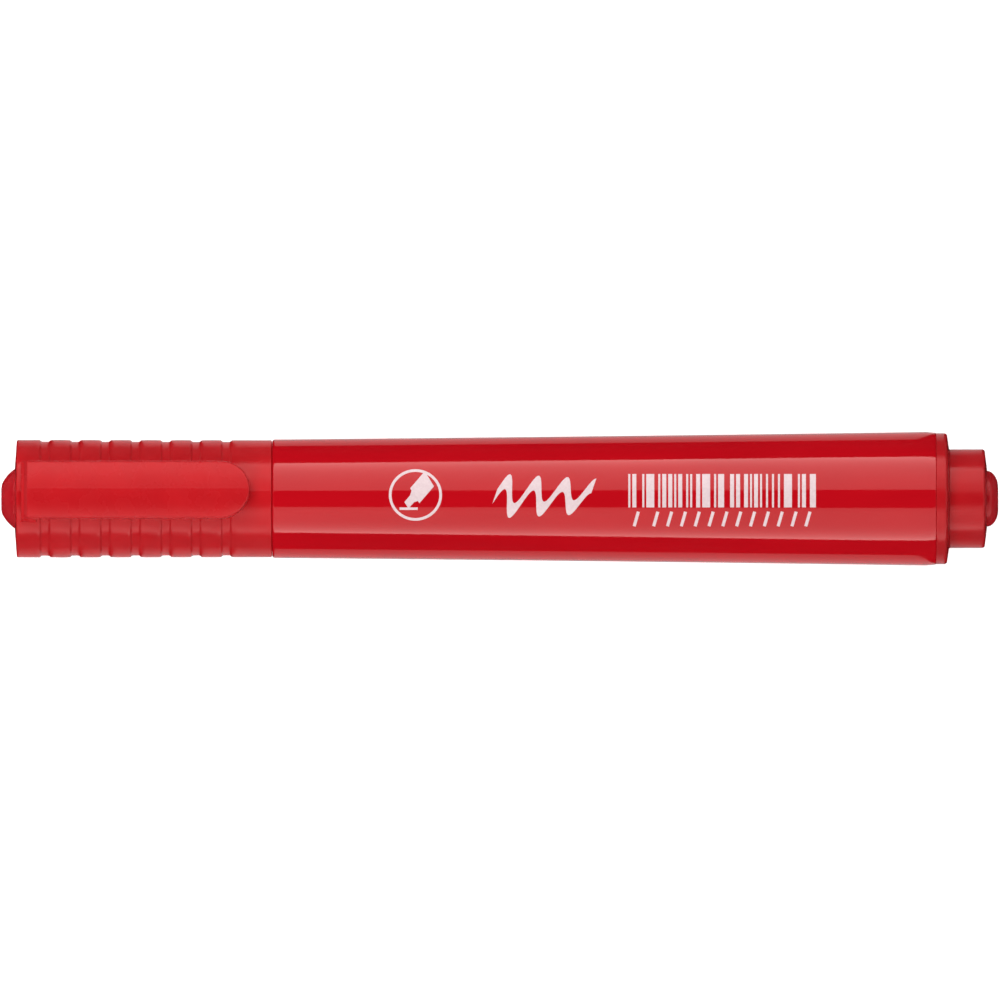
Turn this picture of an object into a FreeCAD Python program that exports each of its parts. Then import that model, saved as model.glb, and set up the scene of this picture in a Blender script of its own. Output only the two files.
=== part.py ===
import FreeCAD, Part
import math
import os
import Sketcher
from FreeCAD import Placement, Rotation, Vector

# A capped felt tip marker lying along X, crown of the cap at -X and tail at +X, clip upwards.
# The origin is on the table under the middle of the marker; the marker's own axis runs at the height of
# the barrel's tail radius. Every round piece is a profile turned about the body's X axis.

DIMENSIONS = [
    # alias, millimetres, meaning
    ("button_height", 1.98, "dome of a button above the face it sits in"),
    ("button_radius", 3.9, "visible radius of a button"),
    ("button_shank_radius", 2.87, "shank pressed into the end wall"),
    ("button_shank_length", 0.76, "shank below the button's head"),
    ("button_seat_depth", 0.5, "counterbore that holds the button's head"),
    ("button_hole_radius", 2.9, "hole for the shank"),
    ("button_play", 0.05, "radial play of a head in its counterbore"),
    ("end_wall", 1.3, "wall of the crown and of the boss where the button sits"),
    ("cap_length", 34.1, "crown face to mouth"),
    ("crown_rise", 0.28, "how far the crown's rim lies behind its middle"),
    ("cap_rim_radius", 7.79, "outside of the cap at the crown"),
    ("cap_mouth_radius", 7.75, "outside of the cap at the mouth"),
    ("cap_bore_radius", 6.62, "bore that slides over the neck and the boss"),
    ("rim_fillet", 0.3, "rounded rim of the crown"),
    ("mouth_fillet", 0.2, "rounded outer edge of the mouth"),
    ("groove_first", 4.06, "crown face to the first grip groove's middle"),
    ("groove_pitch", 4.0, "distance between grip grooves"),
    ("groove_count", 7, "number of grip grooves"),
    ("groove_width", 1.55, "width of a grip groove at the surface"),
    ("groove_depth", 0.22, "depth of a grip groove"),
    ("flange_radius", 6.1, "flange of the inner cap"),
    ("flange_thickness", 1.0, "thickness of that flange"),
    ("flange_play", 0.08, "radial and axial play of the flange in the shell"),
    ("keeper_radius", 5.9, "ring in the shell that keeps the flange in"),
    ("keeper_width", 0.8, "width of that ring"),
    ("inner_cap_length", 22.0, "flange face to the inner cap's mouth"),
    ("inner_cap_radius", 5.5, "outside of the inner cap's sleeve"),
    ("inner_cap_bore", 4.72, "inside of the inner cap, over the nose"),
    ("inner_cap_floor", 1.1, "closed end of the inner cap"),
    ("inner_cap_lead", 0.4, "lead-in at the inner cap's mouth"),
    ("seam_gap", 0.03, "gap between the cap's mouth and the barrel's shoulder"),
    ("barrel_length", 87.92, "shoulder to tail end"),
    ("barrel_front_radius", 7.85, "outside of the barrel at the shoulder"),
    ("barrel_tail_radius", 8.875, "outside of the barrel at the tail"),
    ("shoulder_fillet", 0.25, "rounded edge of the shoulder"),
    ("tail_fillet", 0.3, "rounded edge at the barrel's tail"),
    ("neck_length", 8.5, "neck that the cap closes over"),
    ("neck_radius", 6.5, "outside of the neck"),
    ("neck_bore", 5.2, "bore of the neck"),
    ("neck_bead_rise", 0.07, "bead that the cap snaps over"),
    ("neck_bead_start", 4.3, "neck face to the bead"),
    ("neck_bead_width", 1.2, "width of the bead"),
    ("shoulder_wall", 1.5, "wall behind the shoulder"),
    ("bore_front_radius", 6.6, "barrel bore behind the shoulder"),
    ("bore_tail_radius", 7.45, "barrel bore at the tail"),
    ("bore_tail_length", 14.0, "straight stretch of that bore"),
    ("rib_count", 6, "ribs that centre the reservoir"),
    ("rib_width", 0.8, "width of a rib"),
    ("rib_crest_radius", 6.4, "radius of the ribs' crests"),
    ("rib_root_radius", 7.6, "radius where a rib is buried in the wall"),
    ("rib_start", 12.0, "neck face to the ribs"),
    ("rib_length", 64.0, "length of the ribs"),
    ("nose_tip_radius", 3.35, "nib holder at its tip"),
    ("nose_taper", 4.0, "length of the tapered tip"),
    ("nose_land_radius", 4.65, "land that the inner cap seals on"),
    ("nose_land_length", 6.0, "length of the land"),
    ("nose_cone", 1.2, "cone between the land and the flange"),
    ("holder_flange_radius", 5.9, "flange of the nib holder"),
    ("holder_flange_thickness", 0.8, "thickness of that flange"),
    ("holder_plug_radius", 5.17, "plug pressed into the neck"),
    ("holder_plug_length", 9.5, "length of the plug"),
    ("holder_hollow_radius", 4.2, "hollow of the plug"),
    ("holder_web", 3.5, "solid nose behind the hollow, past the taper and half the land"),
    ("fin_count", 4, "fins that guide the nib inside the plug"),
    ("fin_width", 0.8, "width of a fin"),
    ("vent_count", 3, "air grooves along the nib's bore"),
    ("vent_width", 0.7, "width of an air groove"),
    ("vent_depth", 0.4, "depth of an air groove"),
    ("nib_radius", 2.5, "rod of the nib"),
    ("nib_play", 0.05, "radial play of the nib in its bore"),
    ("nib_length", 36.0, "chisel edge to inner end"),
    ("nib_reach", 6.5, "nib in front of the nose"),
    ("chisel_length", 4.6, "length of the chisel's flats"),
    ("chisel_edge", 1.3, "thickness of the chisel at its edge"),
    ("chisel_slant", 2.6, "how far the edge slants back across the nib"),
    ("nib_point_length", 2.5, "taper at the nib's inner end"),
    ("nib_point_radius", 1.3, "radius of that end"),
    ("reservoir_gap", 0.4, "shoulder wall to the reservoir"),
    ("reservoir_length", 76.0, "length of the fibre rod"),
    ("reservoir_radius", 6.1, "radius of the fibre rod"),
    ("film_play", 0.02, "film to fibre rod"),
    ("film_thickness", 0.2, "film sleeve around the rod"),
    ("plug_length", 8.6, "tail plug inside the barrel"),
    ("plug_radius", 7.38, "outside of the tail plug's skirt"),
    ("plug_bore", 6.3, "inside of the skirt"),
    ("plug_bead_rise", 0.05, "sealing beads on the skirt"),
    ("plug_bead_width", 1.0, "width of a sealing bead"),
    ("collar_radius", 8.68, "collar behind the barrel"),
    ("collar_length", 1.45, "thickness of the collar at its rim"),
    ("collar_rise", 0.3, "slope of the collar's face"),
    ("collar_fillet", 0.4, "rounded rim of the collar"),
    ("boss_radius", 6.545, "boss that the cap is posted on"),
    ("boss_length", 4.7, "length of the boss"),
    ("boss_rise", 0.32, "slope of the boss's face"),
    ("boss_fillet", 0.35, "rounded rim of the boss"),
    ("boss_bore", 5.2, "hollow of the boss"),
    ("clip_station", 0.93, "crown face to the clip's root"),
    ("clip_length", 30.26, "root to tip"),
    ("clip_width", 7.65, "width of the clip"),
    ("clip_face_radius", 10.4, "outer face of the clip, about the marker's axis"),
    ("clip_thickness", 1.3, "thickness of the clip"),
    ("clip_base_radius", 7.84, "underside of the clip's root block"),
    ("clip_block", 2.0, "length of the root block"),
    ("ledge_length", 0.37, "ledge at the crown end of the root"),
    ("ledge_drop", 0.8, "ledge below the outer face"),
    ("riser_length", 0.45, "slope from the ledge to the outer face"),
    ("clip_edge_fillet", 0.3, "softened outer edges of the clip"),
    ("tongue_start", 0.75, "root to the tongue"),
    ("tongue_length", 1.0, "tongue along the marker"),
    ("tongue_width", 4.8, "tongue across the marker"),
    ("tongue_bottom", 6.4, "height of the tongue's end above the axis"),
    ("tongue_top", 8.5, "height at which the tongue joins the block"),
    ("slot_play", 0.15, "slot around the tongue"),
    ("slot_swing", 0.25, "room for the tongue as the clip lifts"),
    ("pip_start", 24.2, "root to the pip under the tip"),
    ("pip_width", 2.4, "width of the pip"),
    ("pip_height", 0.55, "height of the pip"),
]

FULL_TURN = 360.0
CLIP_SECTOR = 60.0
PIP_SECTOR = 26.0
PARTS_FOLDER = "parts"


class Size:
    """A length that knows its value and the expression that gives it from the spreadsheet."""

    def __init__(self, value, text):
        self.value = value
        self.text = text

    def joined(self, other, sign, value):
        return Size(value, f"({self.text} {sign} {as_size(other).text})")

    def __add__(self, other):
        return self.joined(other, "+", self.value + as_size(other).value)

    def __sub__(self, other):
        return self.joined(other, "-", self.value - as_size(other).value)

    def __mul__(self, other):
        return self.joined(other, "*", self.value * as_size(other).value)

    def __truediv__(self, other):
        return self.joined(other, "/", self.value / as_size(other).value)


def as_size(number):
    return number if isinstance(number, Size) else Size(float(number), repr(float(number)))


class Sizes:
    """The document's spreadsheet; each alias is an attribute that holds a Size."""

    def __init__(self, doc):
        self.sheet = doc.addObject("Spreadsheet::Sheet", "Sizes")
        for row, (alias, value, meaning) in enumerate(DIMENSIONS, start=1):
            self.sheet.set(f"A{row}", meaning)
            self.sheet.set(f"B{row}", str(value))
            self.sheet.setAlias(f"B{row}", alias)
            setattr(self, alias, Size(value, f"Sizes.{alias}"))
        self.axis_height = self.barrel_tail_radius
        self.cap_station = self.button_height
        self.shoulder_station = self.button_height + self.cap_length + self.seam_gap
        self.tail_station = self.shoulder_station + self.barrel_length
        self.boss_face_station = (
            self.tail_station + self.collar_length + self.collar_rise + self.boss_length + self.boss_rise
        )
        self.half_length = (self.boss_face_station + self.button_height) / 2


def new_body(doc, sizes, name, station, turned=False):
    """A PartDesign body whose X axis is the marker's axis and whose origin is at the given station."""
    body = doc.addObject("PartDesign::Body", name)
    body.Label = name
    if turned:
        body.Placement = Placement(Vector(), Rotation(Vector(0, 0, 1), 180))
    body.setExpression("Placement.Base.x", (station - sizes.half_length).text)
    body.setExpression("Placement.Base.z", sizes.axis_height.text)
    return body


def origin_feature(body, role):
    return next(feature for feature in body.Origin.OriginFeatures if feature.Role == role)


def place_vertex(sketch, edge, end, point):
    """Ties one end of an edge to its coordinates, each bound to the spreadsheet."""
    for kind, axis, size in (("DistanceX", -2, point[0]), ("DistanceY", -1, point[1])):
        size = as_size(size)
        if size.value == 0:
            sketch.addConstraint(Sketcher.Constraint("PointOnObject", edge, end, axis))
        else:
            index = sketch.addConstraint(Sketcher.Constraint(kind, -1, 1, edge, end, size.value))
            sketch.setExpression(f"Constraints[{index}]", size.text)


def arc_between(start, end, radius, left):
    """Arc from start to end, its centre to the left or right; also says if it was stored end to start."""
    chord = end - start
    middle = (start + end) / 2
    normal = Vector(-chord.y, chord.x, 0).normalize()
    offset = math.sqrt(max(radius**2 - (chord.Length / 2) ** 2, 0.0))
    centre = middle + normal * (offset if left else -offset)
    angles = [math.atan2((p - centre).y, (p - centre).x) for p in (start, end)]
    circle = Part.Circle(centre, Vector(0, 0, 1), radius)
    if left:
        return Part.ArcOfCircle(circle, angles[0], angles[1]), False
    return Part.ArcOfCircle(circle, angles[1], angles[0]), True


def draw_outline(sketch, points, arcs=()):
    """Draws a closed outline. arcs maps the number of an edge to its (radius, centre on the left)."""
    arcs = dict(arcs)
    corners = [Vector(as_size(x).value, as_size(y).value, 0) for x, y in points]
    ends = []
    for number, start in enumerate(corners):
        end = corners[(number + 1) % len(corners)]
        if number in arcs:
            radius, left = arcs[number]
            curve, flipped = arc_between(start, end, as_size(radius).value, left)
            edge = sketch.addGeometry(curve, False)
            ends.append((edge, 2 if flipped else 1, 1 if flipped else 2))
            index = sketch.addConstraint(Sketcher.Constraint("Radius", edge, as_size(radius).value))
            sketch.setExpression(f"Constraints[{index}]", as_size(radius).text)
        else:
            edge = sketch.addGeometry(Part.LineSegment(start, end), False)
            ends.append((edge, 1, 2))
    for number, (edge, first, last) in enumerate(ends):
        following, following_first, _ = ends[(number + 1) % len(ends)]
        sketch.addConstraint(Sketcher.Constraint("Coincident", edge, last, following, following_first))
        place_vertex(sketch, edge, first, points[number])


def new_sketch(body, name, plane, outlines, lift=None):
    """A sketch on one of the body's origin planes, lifted along the plane's normal if asked."""
    sketch = body.newObject("Sketcher::SketchObject", name)
    sketch.AttachmentSupport = [(origin_feature(body, plane), "")]
    sketch.MapMode = "FlatFace"
    if lift is not None:
        sketch.setExpression("AttachmentOffset.Base.z", lift.text)
    for points, arcs in outlines:
        draw_outline(sketch, points, arcs)
    return sketch


def turn(body, name, points, arcs=(), feature="Revolution", sector=FULL_TURN):
    """Turns a profile of (along, radius) points about the body's X axis, adding or cutting."""
    sketch = new_sketch(body, name + "_profile", "XZ_Plane", [(points, arcs)])
    turned = body.newObject("PartDesign::" + feature, name)
    turned.Profile = sketch
    turned.ReferenceAxis = (sketch, ["H_Axis"])
    turned.Angle = sector
    turned.Midplane = sector < FULL_TURN
    body.Document.recompute()
    return turned


def extrude(body, name, plane, outlines, length, feature="Pad", lift=None, reverse=False):
    sketch = new_sketch(body, name + "_outline", plane, outlines, lift)
    extruded = body.newObject("PartDesign::" + feature, name)
    extruded.Profile = sketch
    extruded.Reversed = reverse
    extruded.setExpression("Length", length.text)
    body.Document.recompute()
    return extruded


def repeat_around(body, name, feature, count):
    """Repeats a feature evenly around the marker's axis."""
    pattern = body.newObject("PartDesign::PolarPattern", name)
    pattern.Originals = [feature]
    pattern.Axis = (origin_feature(body, "X_Axis"), [""])
    pattern.Angle = FULL_TURN
    pattern.setExpression("Occurrences", count.text)
    body.Tip = pattern
    body.Document.recompute()
    return pattern


def rectangle(low_x, high_x, low_y, high_y):
    return [(low_x, low_y), (high_x, low_y), (high_x, high_y), (low_x, high_y)]


def round_edges(body, name, radius, circles):
    """Fillets the circular edges about the marker's axis with these (station, radius) sizes."""
    base = body.Tip
    found = []
    for station, ring_radius in circles:
        for number, edge in enumerate(base.Shape.Edges, start=1):
            is_ring = isinstance(edge.Curve, Part.Circle)
            if is_ring and abs(edge.Curve.Radius - ring_radius.value) < 1e-4:
                if abs(edge.Curve.Center.x - station.value) < 1e-4:
                    found.append(f"Edge{number}")
    if len(found) < len(circles):
        raise RuntimeError(f"{name}: found {len(found)} of {len(circles)} edges")
    fillet = body.newObject("PartDesign::Fillet", name)
    fillet.Base = (base, found)
    fillet.setExpression("Radius", radius.text)
    body.Document.recompute()
    return fillet


def soften_face(body, name, radius, face_radius):
    """Fillets the lengthwise and end edges of the face that lies at this radius about the marker's axis."""
    base = body.Tip
    found = []
    for number, edge in enumerate(base.Shape.Edges, start=1):
        reach = [(point.y ** 2 + point.z ** 2) ** 0.5 for point in edge.discretize(5)]
        across = isinstance(edge.Curve, Part.Circle) and abs(edge.Curve.Axis.x) > 0.999
        if not across and max(reach) - min(reach) < 1e-3 and abs(reach[0] - face_radius.value) < 1e-3:
            found.append(f"Edge{number}")
    if not found:
        raise RuntimeError(f"{name}: found no edges")
    fillet = body.newObject("PartDesign::Fillet", name)
    fillet.Base = (base, found)
    fillet.setExpression("Radius", radius.text)
    body.Document.recompute()
    return fillet


def cap_shell(doc, s):
    """Outer cap: crown with the button's seat, grip grooves, keeper ring for the inner cap, clip slot."""
    body = new_body(doc, s, "cap_shell", s.cap_station)
    seat_radius = s.button_radius + s.button_play
    flange_seat = s.flange_radius + s.flange_play
    keeper_start = s.end_wall + s.flange_thickness + s.flange_play * 2
    keeper_end = keeper_start + s.keeper_width
    ramp_end = keeper_end + s.cap_bore_radius - s.keeper_radius
    turn(body, "shell", [
        (0, seat_radius),
        (s.crown_rise, s.cap_rim_radius),
        (s.cap_length, s.cap_mouth_radius),
        (s.cap_length, s.cap_bore_radius),
        (ramp_end, s.cap_bore_radius),
        (keeper_end, s.keeper_radius),
        (keeper_start, s.keeper_radius),
        (keeper_start, flange_seat),
        (s.end_wall, flange_seat),
        (s.end_wall, s.button_hole_radius),
        (s.button_seat_depth, s.button_hole_radius),
        (s.button_seat_depth, seat_radius),
    ])
    round_edges(body, "rim_rounding", s.rim_fillet, [(s.crown_rise, s.cap_rim_radius)])
    round_edges(body, "mouth_rounding", s.mouth_fillet, [(s.cap_length, s.cap_mouth_radius)])
    chord_radius = (s.groove_width * s.groove_width / 4 + s.groove_depth * s.groove_depth) / (s.groove_depth * 2)
    bottom = s.cap_mouth_radius - s.groove_depth
    half = s.groove_width / 2
    clear = s.cap_rim_radius + s.groove_depth
    groove = turn(body, "grip_groove", [
        (s.groove_first - half, clear),
        (s.groove_first - half, bottom + s.groove_depth),
        (s.groove_first + half, bottom + s.groove_depth),
        (s.groove_first + half, clear),
    ], {1: (chord_radius, True)}, feature="Groove")
    pattern = body.newObject("PartDesign::LinearPattern", "grip_grooves")
    pattern.Originals = [groove]
    pattern.Direction = (origin_feature(body, "X_Axis"), [""])
    pattern.setExpression("Length", (s.groove_pitch * (s.groove_count - 1)).text)
    pattern.setExpression("Occurrences", s.groove_count.text)
    body.Tip = pattern
    doc.recompute()
    slot_start = s.clip_station + s.tongue_start - s.slot_play
    slot_end = s.clip_station + s.tongue_start + s.tongue_length + s.slot_swing
    slot_half = s.tongue_width / 2 + s.slot_play
    extrude(body, "clip_slot", "XY_Plane", [(rectangle(slot_start, slot_end, slot_half * -1, slot_half), ())],
            s.cap_rim_radius + s.rim_fillet, feature="Pocket", reverse=True)
    return body


def inner_cap(doc, s):
    """Soft sealing cup inside the cap; its flange turns in the shell's seat and its sleeve grips the nose."""
    body = new_body(doc, s, "inner_cap", s.cap_station + s.end_wall + s.flange_play)
    turn(body, "cup", [
        (0, 0),
        (0, s.flange_radius),
        (s.flange_thickness, s.flange_radius),
        (s.flange_thickness, s.inner_cap_radius),
        (s.inner_cap_length, s.inner_cap_radius),
        (s.inner_cap_length, s.inner_cap_bore + s.inner_cap_lead),
        (s.inner_cap_length - s.inner_cap_lead, s.inner_cap_bore),
        (s.inner_cap_floor, s.inner_cap_bore),
        (s.inner_cap_floor, 0),
    ])
    return body


def button(doc, s, name, seat_station, turned):
    """Domed button pressed into an end wall; the same piece closes the crown and the boss."""
    body = new_body(doc, s, name, seat_station, turned)
    rim = s.button_shank_length + s.button_seat_depth
    apex = rim + s.button_height
    dome = (s.button_radius * s.button_radius + s.button_height * s.button_height) / (s.button_height * 2)
    turn(body, "button", [
        (0, 0),
        (apex, 0),
        (rim, s.button_radius),
        (s.button_shank_length, s.button_radius),
        (s.button_shank_length, s.button_shank_radius),
        (0, s.button_shank_radius),
    ], {1: (dome, True)})
    return body


def pocket_clip(doc, s):
    """Clip: root block with a ledge, a strip that follows the cap's curve, a tongue and a gripping pip."""
    body = new_body(doc, s, "pocket_clip", s.cap_station + s.clip_station)
    inner = s.clip_face_radius - s.clip_thickness
    ledge = s.clip_face_radius - s.ledge_drop
    turn(body, "strip", [
        (0, s.clip_base_radius),
        (s.clip_block, s.clip_base_radius),
        (s.clip_block, inner),
        (s.clip_length, inner),
        (s.clip_length, s.clip_face_radius),
        (s.ledge_length + s.riser_length, s.clip_face_radius),
        (s.ledge_length, ledge),
        (0, ledge),
    ], sector=CLIP_SECTOR)
    half_pip = s.pip_width / 2
    pip_radius = (half_pip * half_pip + s.pip_height * s.pip_height) / (s.pip_height * 2)
    buried = s.clip_thickness / 2
    turn(body, "gripping_pip", [
        (s.pip_start, inner),
        (s.pip_start + s.pip_width, inner),
        (s.pip_start + s.pip_width, inner + buried),
        (s.pip_start, inner + buried),
    ], {0: (pip_radius, True)}, sector=PIP_SECTOR)
    half = s.clip_width / 2
    tip_start = s.clip_length - half
    outline = [(0, half * -1), (tip_start, half * -1), (s.clip_length, 0), (tip_start, half), (0, half)]
    tip_arcs = {1: (half, True), 2: (half, True)}
    margin = s.clip_width
    surround = rectangle(margin * -1, s.clip_length + margin, margin * -1, margin)
    extrude(body, "plan_trim", "XY_Plane", [(surround, ()), (outline, tip_arcs)],
            s.clip_face_radius + s.clip_thickness, feature="Pocket", reverse=True)
    soften_face(body, "edge_softening", s.clip_edge_fillet, s.clip_face_radius)
    half_tongue = s.tongue_width / 2
    tongue = rectangle(s.tongue_start, s.tongue_start + s.tongue_length, half_tongue * -1, half_tongue)
    extrude(body, "tongue", "XY_Plane", [(tongue, ())], s.tongue_top - s.tongue_bottom, lift=s.tongue_bottom)
    return body


def barrel(doc, s):
    """Barrel: neck with the snap bead, shoulder, gently flared flank, bore with ribs for the reservoir."""
    body = new_body(doc, s, "barrel", s.shoulder_station - s.neck_length)
    tail = s.neck_length + s.barrel_length
    bead = s.neck_radius + s.neck_bead_rise
    bead_ramp = s.neck_bead_width / 3
    turn(body, "tube", [
        (0, s.neck_bore),
        (0, s.neck_radius),
        (s.neck_bead_start, s.neck_radius),
        (s.neck_bead_start + bead_ramp, bead),
        (s.neck_bead_start + bead_ramp * 2, bead),
        (s.neck_bead_start + s.neck_bead_width, s.neck_radius),
        (s.neck_length, s.neck_radius),
        (s.neck_length, s.barrel_front_radius),
        (tail, s.barrel_tail_radius),
        (tail, s.bore_tail_radius),
        (tail - s.bore_tail_length, s.bore_tail_radius),
        (s.neck_length + s.shoulder_wall, s.bore_front_radius),
        (s.neck_length + s.shoulder_wall, s.neck_bore),
    ])
    round_edges(body, "shoulder_rounding", s.shoulder_fillet, [(s.neck_length, s.barrel_front_radius)])
    round_edges(body, "tail_rounding", s.tail_fillet, [(tail, s.barrel_tail_radius)])
    half = s.rib_width / 2
    rib = extrude(body, "rib", "YZ_Plane", [(rectangle(half * -1, half, s.rib_crest_radius, s.rib_root_radius), ())],
                  s.rib_length, lift=s.rib_start)
    repeat_around(body, "ribs", rib, s.rib_count)
    return body


def nib_holder(doc, s):
    """Nose of the marker: sealing land, flange against the neck, plug with guide fins, vented nib bore."""
    nose = s.nose_taper + s.nose_land_length + s.nose_cone + s.holder_flange_thickness
    body = new_body(doc, s, "nib_holder", s.shoulder_station - s.neck_length - nose)
    bore = s.nib_radius + s.nib_play
    land_end = s.nose_taper + s.nose_land_length
    hollow = s.nose_taper + s.holder_web
    turn(body, "nose", [
        (0, bore),
        (0, s.nose_tip_radius),
        (s.nose_taper, s.nose_land_radius),
        (land_end, s.nose_land_radius),
        (land_end + s.nose_cone, s.holder_flange_radius),
        (nose, s.holder_flange_radius),
        (nose, s.holder_plug_radius),
        (nose + s.holder_plug_length, s.holder_plug_radius),
        (nose + s.holder_plug_length, s.holder_hollow_radius),
        (hollow, s.holder_hollow_radius),
        (hollow, bore),
    ])
    half_fin = s.fin_width / 2
    fin = extrude(body, "fin", "YZ_Plane",
                  [(rectangle(half_fin * -1, half_fin, bore, s.holder_hollow_radius + half_fin), ())],
                  nose + s.holder_plug_length - hollow, lift=hollow)
    repeat_around(body, "fins", fin, s.fin_count)
    half_vent = s.vent_width / 2
    vent = extrude(body, "vent", "YZ_Plane",
                   [(rectangle(half_vent * -1, half_vent, s.nib_radius * 0.5, bore + s.vent_depth), ())],
                   hollow, feature="Pocket", reverse=True)
    repeat_around(body, "vents", vent, s.vent_count)
    return body


def nib(doc, s):
    """Chisel nib: round rod, two flats that meet at a slanted edge, pointed inner end."""
    nose = s.nose_taper + s.nose_land_length + s.nose_cone + s.holder_flange_thickness
    body = new_body(doc, s, "nib", s.shoulder_station - s.neck_length - nose - s.nib_reach)
    turn(body, "rod", [
        (0, 0),
        (0, s.nib_radius),
        (s.nib_length - s.nib_point_length, s.nib_radius),
        (s.nib_length, s.nib_point_radius),
        (s.nib_length, 0),
    ])
    wide = s.nib_radius * 1.2
    half_edge = s.chisel_edge / 2
    for side, name in ((1, "upper_flat"), (-1, "lower_flat")):
        wedge = [(0, half_edge * side), (s.chisel_length, wide * side), (0, wide * side)]
        flat = extrude(body, name, "XZ_Plane", [(wedge, ())], wide * 2, feature="Pocket")
        flat.Midplane = True
        doc.recompute()
    slant = [(0, wide * -1), (s.chisel_slant, s.nib_radius), (s.chisel_slant, wide), (0, wide)]
    cut = extrude(body, "slanted_edge", "XY_Plane", [(slant, ())], wide * 2, feature="Pocket")
    cut.Midplane = True
    doc.recompute()
    return body


def reservoir(doc, s):
    """Fibre rod that holds the ink, with the hole that the nib's inner end sits in."""
    front = s.shoulder_station + s.shoulder_wall + s.reservoir_gap
    body = new_body(doc, s, "ink_reservoir", front)
    nose = s.nose_taper + s.nose_land_length + s.nose_cone + s.holder_flange_thickness
    nib_end = s.nib_length - s.nib_reach - nose - s.neck_length - s.shoulder_wall - s.reservoir_gap
    hole = s.nib_radius + s.nib_play
    turn(body, "fibre_rod", [
        (nib_end + s.nib_play, 0),
        (nib_end + s.nib_play, s.nib_point_radius + s.nib_play),
        (nib_end - s.nib_point_length, hole),
        (0, hole),
        (0, s.reservoir_radius),
        (s.reservoir_length, s.reservoir_radius),
        (s.reservoir_length, 0),
    ])
    return body


def reservoir_film(doc, s):
    """Thin film sleeve wrapped around the fibre rod."""
    body = new_body(doc, s, "reservoir_film", s.shoulder_station + s.shoulder_wall + s.reservoir_gap)
    inner = s.reservoir_radius + s.film_play
    turn(body, "film", rectangle(0, s.reservoir_length, inner, inner + s.film_thickness))
    return body


def tail_plug(doc, s):
    """Tail plug: beaded skirt in the barrel, collar flush behind it, hollow boss to post the cap on."""
    body = new_body(doc, s, "tail_plug", s.tail_station - s.plug_length)
    rim = s.plug_length + s.collar_length
    boss_foot = rim + s.collar_rise
    boss_rim = boss_foot + s.boss_length
    face = boss_rim + s.boss_rise
    seat_radius = s.button_radius + s.button_play
    bead = s.plug_radius + s.plug_bead_rise
    beads = []
    for start in (s.plug_bead_width, s.plug_bead_width * 4):
        beads += [
            (start, s.plug_radius),
            (start + s.plug_bead_width / 2, bead),
            (start + s.plug_bead_width, s.plug_radius),
        ]
    turn(body, "plug", [
        (0, s.plug_bore),
        (0, s.plug_radius),
        *beads,
        (s.plug_length, s.plug_radius),
        (s.plug_length, s.collar_radius),
        (rim, s.collar_radius),
        (boss_foot, s.boss_radius),
        (boss_rim, s.boss_radius),
        (face, seat_radius),
        (face - s.button_seat_depth, seat_radius),
        (face - s.button_seat_depth, s.button_hole_radius),
        (face - s.end_wall, s.button_hole_radius),
        (face - s.end_wall, s.boss_bore),
        (rim, s.boss_bore),
        (s.plug_length, s.plug_bore),
    ])
    round_edges(body, "collar_rounding", s.collar_fillet, [(rim, s.collar_radius)])
    round_edges(body, "boss_rounding", s.boss_fillet, [(boss_rim, s.boss_radius)])
    return body


def check_and_export(doc, bodies):
    """Stops on any failed feature or bad solid, then writes one STEP file per body."""
    for feature in doc.Objects:
        if {"Invalid", "Error"} & set(feature.State):
            raise RuntimeError(f"{feature.Label} failed: {feature.State}")
    os.makedirs(PARTS_FOLDER, exist_ok=True)
    for body in bodies:
        shape = body.Shape
        if shape.isNull() or not shape.isValid() or len(shape.Solids) != 1:
            raise RuntimeError(f"{body.Label} is not one valid solid")
        box = shape.BoundBox
        print(f"{body.Label:16s} {shape.Volume:9.1f} mm3  x {box.XMin:7.2f} {box.XMax:7.2f}  "
              f"y {box.YMin:6.2f} {box.YMax:6.2f}  z {box.ZMin:6.2f} {box.ZMax:6.2f}")
        shape.exportStep(os.path.join(PARTS_FOLDER, body.Label + ".step"))


def main():
    doc = FreeCAD.newDocument("FeltTipMarker")
    sizes = Sizes(doc)
    doc.recompute()
    crown_seat = sizes.cap_station + sizes.button_seat_depth + sizes.button_shank_length
    boss_seat = sizes.boss_face_station - sizes.button_seat_depth - sizes.button_shank_length
    bodies = [
        cap_shell(doc, sizes),
        inner_cap(doc, sizes),
        button(doc, sizes, "crown_button", crown_seat, turned=True),
        pocket_clip(doc, sizes),
        barrel(doc, sizes),
        nib_holder(doc, sizes),
        nib(doc, sizes),
        reservoir(doc, sizes),
        reservoir_film(doc, sizes),
        tail_plug(doc, sizes),
        button(doc, sizes, "tail_button", boss_seat, turned=False),
    ]
    doc.recompute()
    check_and_export(doc, bodies)


main()
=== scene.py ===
"""A capped felt tip marker: moulded red barrel and ribbed cap, pocket clip, chisel nib, ink reservoir, tail
plug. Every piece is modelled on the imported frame, in metres, with +X from the cap's crown to the tail."""

import math
import random

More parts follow.
